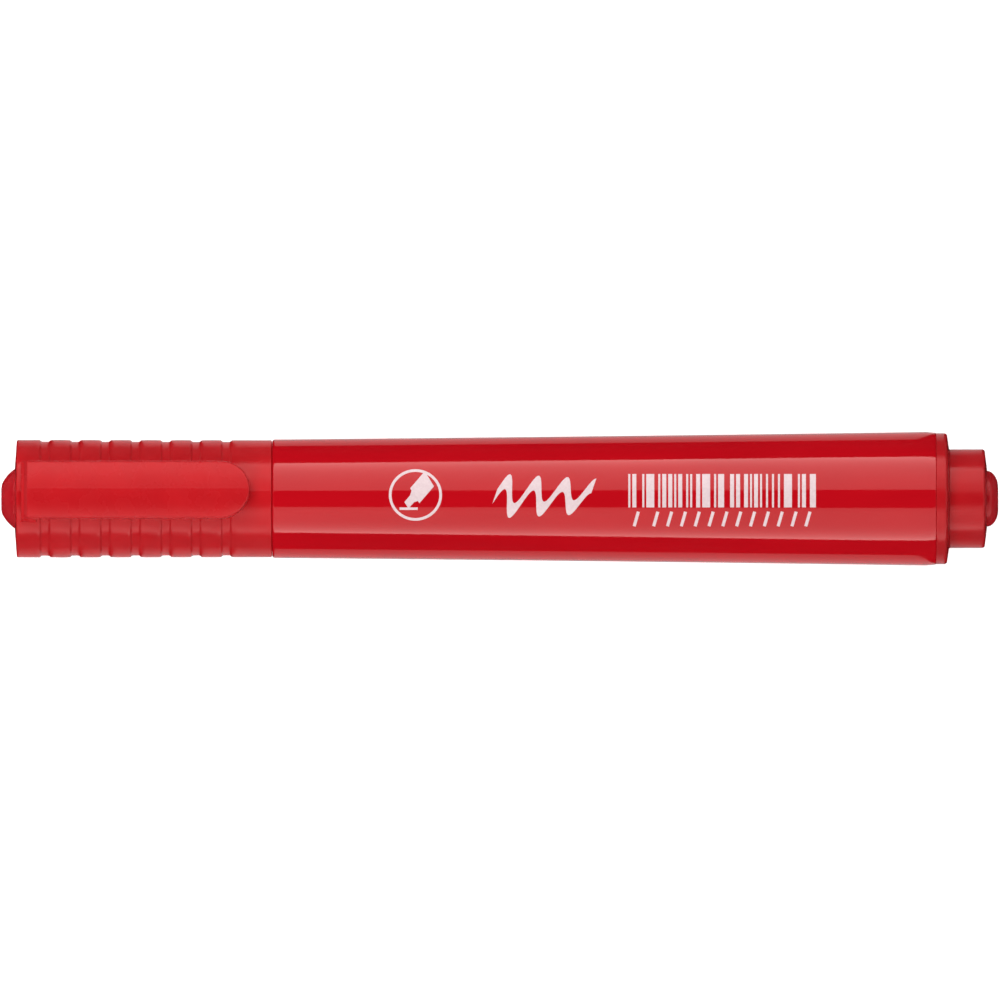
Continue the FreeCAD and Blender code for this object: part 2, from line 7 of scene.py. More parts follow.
import bmesh
import bpy
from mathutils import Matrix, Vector


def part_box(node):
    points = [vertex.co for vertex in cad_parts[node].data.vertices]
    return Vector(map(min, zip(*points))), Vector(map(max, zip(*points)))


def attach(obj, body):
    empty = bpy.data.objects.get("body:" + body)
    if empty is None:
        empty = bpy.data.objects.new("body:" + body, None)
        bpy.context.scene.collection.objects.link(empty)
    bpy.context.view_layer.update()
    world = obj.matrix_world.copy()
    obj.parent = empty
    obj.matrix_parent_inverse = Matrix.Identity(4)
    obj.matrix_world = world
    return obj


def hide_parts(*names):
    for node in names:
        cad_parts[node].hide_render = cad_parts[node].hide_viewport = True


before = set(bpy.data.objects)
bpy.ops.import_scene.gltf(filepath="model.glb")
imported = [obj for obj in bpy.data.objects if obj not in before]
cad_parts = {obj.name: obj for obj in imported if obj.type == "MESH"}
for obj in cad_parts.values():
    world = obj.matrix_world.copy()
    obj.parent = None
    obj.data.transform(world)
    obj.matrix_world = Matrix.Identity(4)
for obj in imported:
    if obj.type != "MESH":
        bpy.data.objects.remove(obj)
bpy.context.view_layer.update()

bl_info = {
    "name": "Felt Tip Marker",
    "version": (1, 0, 0),
    "blender": (4, 5, 0),
    "location": "3D View > Sidebar > Marker",
    "description": "Builds a capped felt tip marker on its packed frame",
    "category": "Object",
}

MM = 0.001
WELD = 0.0005 * MM
PARTING_HALF = 0.12 * MM
BARREL_LOW, BARREL_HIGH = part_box("barrel")
CAP_LOW, CAP_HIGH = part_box("cap_shell")
CLIP_LOW, CLIP_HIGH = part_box("pocket_clip")
PLUG_LOW, PLUG_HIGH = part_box("tail_plug")
NIB_LOW, NIB_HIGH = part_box("nib")
AXIS_Z = (BARREL_LOW.z + BARREL_HIGH.z) / 2
CLIP_TURN = math.radians(7.5)
SHOULDER_X = CAP_HIGH.x + 0.03 * MM
TAIL_X = BARREL_HIGH.x
PLASTIC_GLINT = "FFCECB"
NOISE_RANGE = {"From Min": 0.35, "From Max": 0.65}
# The two buttons, and the seat and stem hole that each is pressed into.
BUTTON_RADIUS = 3.9 * MM
BUTTON_STEM = 2.87 * MM
SEAT_RADIUS = 3.95 * MM
SEAT_DEPTH = 0.5 * MM
STEM_HOLE = 2.9 * MM
END_WALL = 1.3 * MM


def linear(hex_colour):
    """The linear colour of an sRGB hex value."""
    parts = [int(hex_colour[i:i + 2], 16) / 255 for i in (0, 2, 4)]
    return tuple(c / 12.92 if c <= 0.04045 else ((c + 0.055) / 1.055) ** 2.4 for c in parts)


def length_property(name, description, default_mm, least_mm=0.0):
    return bpy.props.FloatProperty(
        name=name, description=description, default=default_mm * MM, min=least_mm * MM,
        unit="LENGTH", subtype="DISTANCE", precision=5,
    )


def colour_property(name, description, hex_colour):
    return bpy.props.FloatVectorProperty(
        name=name, description=description, default=linear(hex_colour), min=0.0, max=1.0,
        size=3, subtype="COLOR",
    )


class MarkerBarrelSizes(bpy.types.PropertyGroup):
    facets: bpy.props.IntProperty(
        name="Facets", description="Steps around every turned piece", default=144, min=24, max=360)
    neck_radius: length_property("Neck radius", "Outside of the neck", 6.5)
    neck_bore: length_property("Neck bore", "Bore that holds the nib holder", 5.2)
    bead_rise: length_property("Bead rise", "Snap bead above the neck", 0.07)
    front_radius: length_property("Front radius", "Barrel at the shoulder", 7.85)
    flank_sag: length_property("Flank sag", "How far the flank dips below a straight taper", 0.06)
    shoulder_rounding: length_property("Shoulder rounding", "Rounded edge beside the cap", 0.32)
    tail_rounding: length_property("Tail rounding", "Rounded edge beside the tail plug", 0.12)


class MarkerCapSizes(bpy.types.PropertyGroup):
    rim_radius: length_property("Rim radius", "Cap at the crown", 7.79)
    mouth_radius: length_property("Mouth radius", "Cap at its mouth", 7.75)
    bore_radius: length_property("Bore radius", "Bore of the cap", 6.62)
    crown_rise: length_property("Crown rise", "How far the rim lies behind the crown's middle", 0.28)
    rim_rounding: length_property("Rim rounding", "Rounded rim of the crown", 0.22)
    groove_first: length_property("First groove", "Crown face to the first groove's middle", 4.06)
    groove_pitch: length_property("Groove pitch", "Distance between grip grooves", 4.0)
    groove_width: length_property("Groove width", "Width of a grip groove", 1.55)
    groove_depth: length_property("Groove depth", "Depth of a grip groove", 0.23)
    land_crown: length_property("Land crown", "Swell of the lands between the grooves", 0.02)
    parting_height: length_property("Parting line", "Height of the mould's parting line", 0.022)


class MarkerClipSizes(bpy.types.PropertyGroup):
    face_radius: length_property("Face radius", "Outer face, about the marker's axis", 10.4)
    thickness: length_property("Thickness", "Thickness of the strip", 1.3)
    width: length_property("Width", "Width of the strip", 7.65)
    block_length: length_property("Root block", "Length of the block on the cap", 2.0)
    ledge_length: length_property("Ledge length", "Ledge at the crown end", 0.37)
    ledge_drop: length_property("Ledge drop", "Ledge below the outer face", 0.8)
    ledge_fall: length_property("Ledge fall", "How far the ledge falls towards the crown", 0.16)
    riser_length: length_property("Riser", "Slope from the ledge to the face", 0.45)
    edge_rounding: length_property("Edge rounding", "Softened edges of the strip", 0.32)
    base_radius: length_property("Block base", "Underside of the root block, about the axis", 7.84)
    base_flare: bpy.props.FloatProperty(
        name="Base flare", description="Width of the block's foot over its top", default=1.05, min=1.0)
    pip_height: length_property("Pip", "Gripping pip under the tip", 0.55)


class MarkerFinishes(bpy.types.PropertyGroup):
    barrel: colour_property("Barrel", "Glossy barrel", "B40B17")
    cap: colour_property("Cap", "Satin cap and clip", "B6151C")
    # The tail plug is the cap's plastic painted a darker red: painted shade for the boss behind the collar,
    # shared by the nib holder.
    plug: colour_property("Tail plug", "Satin tail plug and nib holder", "AA131A")
    button: colour_property("Buttons", "Buttons in the crown and the tail", "B0101C")
    liner: colour_property("Inner cap", "Soft natural liner", "E4E1D8")
    nib: colour_property("Nib", "Felt soaked with ink", "A11220")
    fibre: colour_property("Reservoir", "Fibres soaked with ink", "8E1220")
    ink: colour_property("Print", "Printed marks on the barrel", "DAC5C7")


class MarkerStudio(bpy.types.PropertyGroup):
    box_tilt: bpy.props.FloatProperty(
        name="Soft box tilt", description="Degrees from straight up to each soft box", default=38.0, min=0.0)
    box_power: bpy.props.FloatProperty(
        name="Soft box power", description="Watts of each soft box", default=7.5, min=0.0)
    floor_glow: bpy.props.FloatProperty(
        name="Floor lift", description="Light given off by the floor itself", default=0.52, min=0.0)
    table_reflection: bpy.props.FloatProperty(
        name="Table in reflections", description="Brightness of the pale table in reflections", default=0.55,
        min=0.0)
    end_reflection: bpy.props.FloatProperty(
        name="End cards", description="Brightness of the cards beyond both ends", default=1.2, min=0.0)
    camera_distance: length_property("Camera distance", "Camera to the marker", 6000.0)
    view_width: length_property("View width", "Width of the view at the marker", 132.5)


# ---- modelling by hand -------------------------------------------------------------------------------

def begin_alone():
    """Leaves edit mode and deselects everything, so that the next operator acts on its own piece only."""
    if bpy.context.object is not None and bpy.context.object.mode != "OBJECT":
        bpy.ops.object.mode_set(mode="OBJECT")
    bpy.ops.object.select_all(action="DESELECT")


def name_piece(name):
    piece = bpy.context.object
    piece.name = name
    piece.data.name = name
    return piece


def select_alone(piece):
    begin_alone()
    piece.select_set(True)
    bpy.context.view_layer.objects.active = piece


def edit(piece):
    select_alone(piece)
    bpy.ops.object.mode_set(mode="EDIT")


def pick(piece, kind, test):
    """In edit mode, selects just the vertices, edges or faces that pass a test on their place or normal."""
    bpy.ops.mesh.select_mode(type=kind)
    bpy.ops.mesh.select_all(action="DESELECT")
    mesh = bmesh.from_edit_mesh(piece.data)
    elements = {"VERT": mesh.verts, "EDGE": mesh.edges, "FACE": mesh.faces}[kind]
    for element in elements:
        if test(element):
            element.select_set(True)
    mesh.select_flush_mode()
    bmesh.update_edit_mesh(piece.data)


def slice_mesh(places, normal):
    """Bisects the whole mesh by parallel planes, so that it can follow a curve or take a ridge."""
    normal = Vector(normal)
    for place in places:
        bpy.ops.mesh.select_all(action="SELECT")
        bpy.ops.mesh.bisect(plane_co=normal * place, plane_no=normal)


def apply_modifier(piece, kind, **settings):
    select_alone(piece)
    modifier = piece.modifiers.new(kind.title(), kind)
    for name, value in settings.items():
        setattr(modifier, name, value)
    bpy.ops.object.modifier_apply(modifier=modifier.name)


def finish_mesh(piece, smooth_degrees=32):
    """Welds doubles, turns the faces outwards, applies the place and smooths all but the real edges."""
    edit(piece)
    bpy.ops.mesh.select_all(action="SELECT")
    bpy.ops.mesh.remove_doubles(threshold=WELD)
    bpy.ops.mesh.normals_make_consistent(inside=False)
    bpy.ops.object.mode_set(mode="OBJECT")
    bpy.ops.object.transform_apply(location=True, rotation=True, scale=True)
    bpy.ops.object.shade_smooth_by_angle(angle=math.radians(smooth_degrees))
    return piece


def softened(corners, closed=True, facets=5, hold=0.07 * MM):
    """Rounds the corners (along, radius, rounding) of an outline, and holds each arc with a point beyond."""
    points = []
    count = len(corners)
    for i, corner in enumerate(corners):
        here = Vector(corner[:2])
        rounding = corner[2] if len(corner) > 2 else 0.0
        if rounding == 0.0 or (not closed and i in (0, count - 1)):
            points.append(here)
            continue
        back = Vector(corners[i - 1][:2]) - here
        ahead = Vector(corners[(i + 1) % count][:2]) - here
        half = back.angle(ahead) / 2
        reach = rounding / math.tan(half)
        back_way, ahead_way = back.normalized(), ahead.normalized()
        centre = here + (back_way + ahead_way).normalized() * rounding / math.sin(half)
        start = here + back_way * reach - centre
        end = here + ahead_way * reach - centre
        turn_angle = start.angle_signed(end)
        if back.length > 2 * (reach + hold):
            points.append(here + back_way * (reach + hold))
        for step in range(facets + 1):
            angle = -turn_angle * step / facets
            c, s = math.cos(angle), math.sin(angle)
            points.append(centre + Vector((start.x * c - start.y * s, start.x * s + start.y * c)))
        if ahead.length > 2 * (reach + hold):
            points.append(here + ahead_way * (reach + hold))
    return points


def turned(name, outline, facets, closed=True):
    """One vertex is extruded along the outline of (along, radius) points, then spun about the axis."""
    begin_alone()
    bpy.ops.mesh.primitive_plane_add(size=MM)
    piece = name_piece(name)
    bpy.ops.object.mode_set(mode="EDIT")
    bpy.ops.mesh.select_mode(type="VERT")
    bpy.ops.mesh.select_all(action="SELECT")
    bpy.ops.mesh.merge(type="CENTER")
    points = [Vector(point) for point in outline]
    bpy.ops.transform.translate(value=(points[0].x, 0, AXIS_Z + points[0].y))
    for here, there in zip(points, points[1:] + points[:1] * closed):
        step = there - here
        bpy.ops.mesh.extrude_region_move(TRANSFORM_OT_translate={"value": (step.x, 0, step.y)})
    bpy.ops.mesh.select_all(action="SELECT")
    bpy.ops.mesh.remove_doubles(threshold=WELD)
    bpy.ops.mesh.spin(steps=facets, angle=math.tau, center=(0, 0, AXIS_Z), axis=(1, 0, 0))
    return finish_mesh(piece)


def raise_parting_line(piece, height, start_x, end_x):
    """Where the mould's halves met, a fine ridge stands along the middle plane of a turned piece."""
    edit(piece)
    slice_mesh((-2 * PARTING_HALF, -PARTING_HALF, PARTING_HALF, 2 * PARTING_HALF), (0, 1, 0))
    outer = 7.2 * MM
    for side in (1, -1):

        def on_line(vert):
            off_axis = (vert.co.z - AXIS_Z) * side
            return abs(vert.co.y) < WELD and off_axis > outer and start_x < vert.co.x < end_x

        pick(piece, "VERT", on_line)
        bpy.ops.transform.translate(value=(0, 0, height * side))
    bpy.ops.object.mode_set(mode="OBJECT")


# ---- finishes ----------------------------------------------------------------------------------------

def add_node(tree, kind, sockets=None, **settings):
    """Adds one node; a socket's value is a constant, or another node's output to link."""
    node = tree.nodes.new(kind)
    for name, value in settings.items():
        setattr(node, name, value)
    for name, value in (sockets or {}).items():
        if isinstance(value, bpy.types.NodeSocket):
            tree.links.new(value, node.inputs[name])
        else:
            node.inputs[name].default_value = value
    return node


def new_finish(name):
    """An empty material with its Principled shader and the place on the piece, in metres."""
    material = bpy.data.materials.new(name)
    material.use_nodes = True
    tree = material.node_tree
    tree.nodes.clear()
    shader = add_node(tree, "ShaderNodeBsdfPrincipled")
    add_node(tree, "ShaderNodeOutputMaterial", {"Surface": shader.outputs["BSDF"]})
    place = add_node(tree, "ShaderNodeTexCoord").outputs["Object"]
    return material, tree, shader, place


def shade(colour, amount):
    return tuple(min(1.0, c * amount) for c in colour)


def patches(tree, place, size_mm, stretch, detail):
    """Random patches of a size in millimetres, drawn out along the marker by stretch."""
    drawn = add_node(tree, "ShaderNodeMapping", {"Vector": place, "Scale": (1.0 / stretch, 1.0, 1.0)})
    return add_node(tree, "ShaderNodeTexNoise", {
        "Vector": drawn.outputs["Vector"], "Scale": 1.0 / (size_mm * MM), "Detail": detail}).outputs["Fac"]


def clouded(tree, place, size_mm, first, second, stretch=1.0, detail=2.0):
    """A colour that drifts between two over patches of a size."""
    amount = add_node(tree, "ShaderNodeMapRange", {
        "Value": patches(tree, place, size_mm, stretch, detail), **NOISE_RANGE})
    return add_node(tree, "ShaderNodeMix", {
        0: amount.outputs["Result"], 6: (*first, 1.0), 7: (*second, 1.0)}, data_type="RGBA").outputs[2]


def handled(tree, place, size_mm, smoothest, roughest, stretch=1.0):
    """A polish that wanders between two roughnesses over smears of a size."""
    return add_node(tree, "ShaderNodeMapRange", {
        "Value": patches(tree, place, size_mm, stretch, 4.0), **NOISE_RANGE,
        "To Min": smoothest, "To Max": roughest}).outputs["Result"]


def textured(tree, shader, place, size_mm, depth_mm, strength, stretch=1.0, detail=2.0):
    """Gives the surface a relief with grains of a size and a depth."""
    relief = add_node(tree, "ShaderNodeBump", {
        "Height": patches(tree, place, size_mm, stretch, detail), "Strength": strength,
        "Distance": depth_mm * MM})
    tree.links.new(relief.outputs["Normal"], shader.inputs["Normal"])


def gloss_polypropylene(colour):
    """Injection-moulded polypropylene from a polished mould: deep even colour, sharp long reflections."""
    material, tree, shader, place = new_finish("gloss_moulded_polypropylene_red")
    # Flow of the melt along the barrel clouds the colour by a few percent over several millimetres.
    tint = clouded(tree, place, 5.0, shade(colour, 0.965), shade(colour, 1.035), stretch=4.0)
    tree.links.new(tint, shader.inputs["Base Color"])
    # Handling leaves the polish a little uneven, in faint smears 3 mm wide.
    tree.links.new(handled(tree, place, 3.0, 0.045, 0.085, stretch=4.0), shader.inputs["Roughness"])
    shader.inputs["IOR"].default_value = 1.49
    shader.inputs["Specular Tint"].default_value = (*linear(PLASTIC_GLINT), 1.0)
    # Orange peel of about 1.5 mm lets the long reflections waver slightly.
    textured(tree, shader, place, 1.5, 0.002, 0.35, detail=1.0)
    return material


def satin_polypropylene(colour, name, polish=(0.21, 0.26), glint=0.3):
    """The same plastic from a lightly blasted mould: soft wide highlights, a fine even grain."""
    material, tree, shader, place = new_finish(name)
    tint = clouded(tree, place, 4.0, shade(colour, 0.97), shade(colour, 1.03))
    tree.links.new(tint, shader.inputs["Base Color"])
    tree.links.new(handled(tree, place, 2.5, *polish), shader.inputs["Roughness"])
    shader.inputs["IOR"].default_value = 1.49
    shader.inputs["Specular IOR Level"].default_value = glint
    shader.inputs["Specular Tint"].default_value = (*linear(PLASTIC_GLINT), 1.0)
    # Blasting grit of 0.05 mm is too fine to show, so the grain is drawn at 0.2 mm.
    textured(tree, shader, place, 0.2, 0.003, 0.2)
    return material


def soft_polyethylene(colour):
    """Natural low-density polyethylene: waxy, slightly see-through, with a dull sheen."""
    material, tree, shader, place = new_finish("natural_polyethylene")
    tree.links.new(clouded(tree, place, 3.0, shade(colour, 0.94), colour), shader.inputs["Base Color"])
    shader.inputs["Roughness"].default_value = 0.42
    shader.inputs["IOR"].default_value = 1.51
    shader.inputs["Subsurface Weight"].default_value = 0.2
    shader.inputs["Subsurface Radius"].default_value = (1.0, 0.9, 0.8)
    shader.inputs["Subsurface Scale"].default_value = 0.6 * MM
    textured(tree, shader, place, 1.0, 0.01, 0.3)
    return material


def inked_felt(colour):
    """Bonded polyester felt soaked with ink: matt, fibrous along the rod, darker where the ink pools."""
    material, tree, shader, place = new_finish("ink_soaked_polyester_felt")
    # Fibres of 0.02 mm lie along the rod; bundles are drawn 0.12 mm thick so that they show.
    strand_mm, strand_stretch = 0.12, 8.0
    pooled = clouded(tree, place, 1.6, shade(colour, 0.7), colour)
    fibres = clouded(tree, place, strand_mm, shade(colour, 0.62), shade(colour, 1.15), strand_stretch, 3.0)
    tint = add_node(tree, "ShaderNodeMix", {0: 0.6, 6: pooled, 7: fibres}, data_type="RGBA").outputs[2]
    tree.links.new(tint, shader.inputs["Base Color"])
    shader.inputs["Roughness"].default_value = 0.82
    shader.inputs["Sheen Weight"].default_value = 0.25
    shader.inputs["Sheen Roughness"].default_value = 0.5
    textured(tree, shader, place, strand_mm, 0.05, 0.7, strand_stretch, 3.0)
    return material


def fibre_bundle(colour):
    """Crimped polyester tow full of ink: long strands, wet and dark."""
    material, tree, shader, place = new_finish("ink_soaked_polyester_tow")
    # Single filaments are 0.02 mm; the tow shows as strands of about 0.3 mm.
    strand_mm, strand_stretch = 0.3, 16.0
    tint = clouded(tree, place, strand_mm, shade(colour, 0.55), shade(colour, 1.2), strand_stretch, 4.0)
    tree.links.new(tint, shader.inputs["Base Color"])
    shader.inputs["Roughness"].default_value = 0.55
    textured(tree, shader, place, strand_mm, 0.08, 0.8, strand_stretch, 4.0)
    return material


def wrap_film():
    """Thin polypropylene film: clear with a pink cast from the ink behind it, glossy."""
    material, tree, shader, place = new_finish("clear_polypropylene_film")
    tint = clouded(tree, place, 1.2, linear("D8A9A9"), linear("E9CFCF"), stretch=5.0, detail=3.0)
    tree.links.new(tint, shader.inputs["Base Color"])
    shader.inputs["Roughness"].default_value = 0.12
    shader.inputs["IOR"].default_value = 1.49
    shader.inputs["Alpha"].default_value = 0.6
    # The film is wound tight, so it shows only shallow lengthwise creases.
    textured(tree, shader, place, 1.2, 0.03, 0.5, stretch=5.0, detail=3.0)
    return material


def pad_printed_ink(colour):
    """Pad-printed ink: flat opaque white that lets a little red through where it is thin."""
    material, tree, shader, place = new_finish("pad_printed_white_ink")
    cover = clouded(tree, place, 0.35, linear("D2BBBE"), colour, detail=3.0)
    tree.links.new(cover, shader.inputs["Base Color"])
    shader.inputs["Roughness"].default_value = 0.38
    shader.inputs["IOR"].default_value = 1.5
    textured(tree, shader, place, 0.2, 0.003, 0.2)
    return material


def matt_paper(glow):
    """White background paper: dull, with cloudy fibres, lifted by a light of its own."""
    material, tree, shader, place = new_finish("matt_white_paper")
    tree.links.new(clouded(tree, place, 2.0, linear("F6F6F6"), linear("F9F9F9")), shader.inputs["Base Color"])
    shader.inputs["Roughness"].default_value = 0.9
    shader.inputs["Emission Color"].default_value = (1.0, 1.0, 1.0, 1.0)
    shader.inputs["Emission Strength"].default_value = glow
    return material


def even_glow(name, strengths):
    """A white diffuser lit from behind: low, plus gain across it, plus a surge at its outer edge."""
    low, gain, surge, power = strengths
    material = bpy.data.materials.new(name + "_glow")
    material.use_nodes = True
    tree = material.node_tree
    tree.nodes.clear()
    part = add_node(tree, "ShaderNodeSeparateXYZ", {
        "Vector": add_node(tree, "ShaderNodeTexCoord").outputs["UV"]}).outputs["Y"]
    steady = add_node(tree, "ShaderNodeMath", {0: part, 1: gain, 2: low}, operation="MULTIPLY_ADD")
    steep = add_node(tree, "ShaderNodeMath", {0: part, 1: power}, operation="POWER")
    strength = add_node(tree, "ShaderNodeMath", {
        0: steep.outputs["Value"], 1: surge, 2: steady.outputs["Value"]}, operation="MULTIPLY_ADD")
    light = add_node(tree, "ShaderNodeEmission", {
        "Color": (1.0, 1.0, 1.0, 1.0), "Strength": strength.outputs["Value"]})
    add_node(tree, "ShaderNodeOutputMaterial", {"Surface": light.outputs["Emission"]})
    return material


def give_finish(piece, material):
    piece.data.materials.clear()
    piece.data.materials.append(material)


def shared_finish(name, maker, *values):
    """One material for all the pieces moulded from the same plastic."""
    return bpy.data.materials.get(name) or maker(*values)


def cap_finish(context):
    name = "satin_moulded_polypropylene_red"
    return shared_finish(name, satin_polypropylene, tuple(context.scene.marker_finishes.cap), name)


def clip_finish(context):
    name = "soft_satin_moulded_polypropylene_red"
    colour = tuple(context.scene.marker_finishes.cap)
    return shared_finish(name, satin_polypropylene, colour, name, (0.25, 0.3), 0.32)


# The cap's satin plastic in a darker red, as painted shade for the tail plug's boss.
def shaded_plug_finish(context):
    name = "satin_moulded_polypropylene_deep_red"
    return shared_finish(name, satin_polypropylene, tuple(context.scene.marker_finishes.plug), name)


def button_finish(context):
    name = "smooth_moulded_polypropylene_dark_red"
    colour = tuple(context.scene.marker_finishes.button)
    return shared_finish(name, satin_polypropylene, colour, name, (0.22, 0.28))


# ---- pieces ------------------------------------------------------------------------------------------

class MARKER_OT_barrel(bpy.types.Operator):
    """Barrel: neck with its snap bead, shoulder, gently flared flank and the bore behind them"""
    bl_idname = "marker.barrel"
    bl_label = "Barrel"

    def execute(self, context):
        sizes = context.scene.marker_barrel
        front = BARREL_LOW.x
        shoulder = SHOULDER_X
        tail_radius = (BARREL_HIGH.z - BARREL_LOW.z) / 2
        bead = sizes.neck_radius + sizes.bead_rise
        bead_start = front + 4.3 * MM
        corners = [
            (front, sizes.neck_bore, 0.12 * MM),
            (front, sizes.neck_radius, 0.25 * MM),
            (bead_start, sizes.neck_radius),
            (bead_start + 0.4 * MM, bead),
            (bead_start + 0.8 * MM, bead),
            (bead_start + 1.2 * MM, sizes.neck_radius),
            (shoulder, sizes.neck_radius, 0.1 * MM),
            (shoulder, sizes.front_radius, sizes.shoulder_rounding),
        ]
        rings = 36
        for ring in range(1, rings - 1):
            part = ring / rings
            straight = sizes.front_radius + (tail_radius - sizes.front_radius) * part
            dip = 4 * sizes.flank_sag * part * (1 - part)
            corners.append((shoulder + (TAIL_X - shoulder) * part, straight - dip))
        wall = shoulder + 1.5 * MM
        tail_bore = 7.45 * MM
        corners += [
            (TAIL_X - 1.3 * MM, tail_radius - 0.01 * MM),
            (TAIL_X, tail_radius - 0.14 * MM, sizes.tail_rounding),
            (TAIL_X, tail_bore, 0.1 * MM),
            (TAIL_X - 14.0 * MM, tail_bore),
            (wall, 6.6 * MM),
            (wall, sizes.neck_bore),
        ]
        piece = turned("barrel_moulding", softened(corners), sizes.facets)
        finish = gloss_polypropylene(tuple(context.scene.marker_finishes.barrel))
        give_finish(piece, finish)
        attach(piece, "barrel")
        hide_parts("barrel")
        ribs = self.bore_ribs(front)
        give_finish(ribs, finish)
        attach(ribs, "barrel")
        return {"FINISHED"}

    def bore_ribs(self, front):
        """Six ribs along the bore that centre the reservoir; one is modelled and copied round the axis."""
        crest, root, width = 6.4 * MM, 7.6 * MM, 0.8 * MM
        start, length = front + 12.0 * MM, 64.0 * MM
        count = 6
        begin_alone()
        bpy.ops.mesh.primitive_cube_add(size=1.0)
        ribs = name_piece("barrel_ribs")
        edit(ribs)
        bpy.ops.mesh.select_all(action="SELECT")
        bpy.ops.transform.resize(value=(length, width, root - crest))
        bpy.ops.transform.translate(value=(start + length / 2, 0, AXIS_Z + (crest + root) / 2))
        pick(ribs, "EDGE", lambda edge: all(vert.co.z < AXIS_Z + crest + WELD for vert in edge.verts))
        bpy.ops.mesh.bevel(offset=0.12 * MM, segments=2, affect="EDGES")
        bpy.ops.mesh.select_all(action="SELECT")
        bpy.ops.mesh.spin(steps=count - 1, dupli=True, angle=math.tau * (count - 1) / count,
                          center=(0, 0, AXIS_Z), axis=(1, 0, 0))
        return finish_mesh(ribs)


class MARKER_OT_cap_shell(bpy.types.Operator):
    """Cap: crown with the button's seat, grip grooves, smooth band, bore and the slot for the clip"""
    bl_idname = "marker.cap_shell"
    bl_label = "Cap Shell"

    def execute(self, context):
        sizes = context.scene.marker_cap
        crown = CAP_LOW.x
        mouth = CAP_HIGH.x
        land_gap = 0.6 * MM

        def surface(along):
            part = (along - sizes.crown_rise) / (mouth - crown - sizes.crown_rise)
            return sizes.rim_radius + (sizes.mouth_radius - sizes.rim_radius) * part

        corners = [
            (crown, SEAT_RADIUS, 0.06 * MM),
            (crown + sizes.crown_rise, sizes.rim_radius, sizes.rim_rounding),
        ]
        half = sizes.groove_width / 2
        land_start = sizes.crown_rise + land_gap
        for groove in range(7):
            middle = sizes.groove_first + sizes.groove_pitch * groove
            corners += self.land(crown, land_start, middle - half, surface, sizes.land_crown * bool(groove))
            corners += self.groove(crown, middle, half, surface(middle), sizes.groove_depth)
            land_start = middle + half
        corners += self.land(crown, land_start, mouth - crown - land_gap, surface, 0.0)
        # The inner cap's flange turns in this seat, behind a keeper that it was snapped past.
        flange_seat = 6.18 * MM
        keeper = 5.9 * MM
        keeper_start = crown + 2.46 * MM
        corners += [
            (mouth, sizes.mouth_radius, 0.2 * MM),
            (mouth, sizes.bore_radius, 0.25 * MM),
            (crown + 3.98 * MM, sizes.bore_radius),
            (crown + 3.26 * MM, keeper),
            (keeper_start, keeper),
            (keeper_start, flange_seat),
            (crown + END_WALL, flange_seat),
            (crown + END_WALL, STEM_HOLE),
            (crown + SEAT_DEPTH, STEM_HOLE),
            (crown + SEAT_DEPTH, SEAT_RADIUS),
        ]
        piece = turned("cap_moulding", softened(corners), context.scene.marker_barrel.facets)
        self.cut_clip_slot(piece)
        raise_parting_line(piece, sizes.parting_height, crown + 0.5 * MM, mouth - 0.1 * MM)
        finish_mesh(piece)
        give_finish(piece, cap_finish(context))
        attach(piece, "cap_shell")
        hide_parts("cap_shell")
        return {"FINISHED"}

    def land(self, crown, start, end, surface, swell):
        """The stretch between two grooves, very slightly swollen."""
        steps = 6
        points = []
        for step in range(steps + 1):
            part = step / steps
            along = start + (end - start) * part
            points.append((crown + along, surface(along) + 4 * swell * part * (1 - part) - swell * 0.5))
        return points

    def groove(self, crown, middle, half, radius, depth):
        """A groove: short rounded walls, and a floor that is all but flat."""
        wall = 0.45
        steps = 8
        points = []
        for step in range(1, 2 * steps):
            part = step / steps - 1
            down = min(1.0, (1 - abs(part)) / wall)
            hollow = depth * (0.94 * (3 - 2 * down) * down ** 2 + 0.06 * (1 - part ** 2))
            points.append((crown + middle + half * part, radius - hollow))
        return points

    def cut_clip_slot(self, piece):
        """Opens the slot that the clip's tongue goes through."""
        begin_alone()
        low_x = CAP_LOW.x + 1.43 * MM
        high_x = CAP_LOW.x + 2.83 * MM
        bpy.ops.mesh.primitive_cube_add(size=1.0, location=((low_x + high_x) / 2, 0, AXIS_Z + 6.0 * MM))
        cutter = name_piece("slot_cutter")
        cutter.scale = (high_x - low_x, 5.1 * MM, 8.0 * MM)
        bpy.ops.object.transform_apply(location=True, rotation=True, scale=True)
        edit(cutter)
        pick(cutter, "EDGE", lambda edge: abs(edge.verts[0].co.z - edge.verts[1].co.z) > MM)
        bpy.ops.mesh.bevel(offset=0.2 * MM, segments=3, affect="EDGES")
        begin_alone()
        apply_modifier(piece, "BOOLEAN", operation="DIFFERENCE", object=cutter, solver="EXACT")
        bpy.data.objects.remove(cutter)


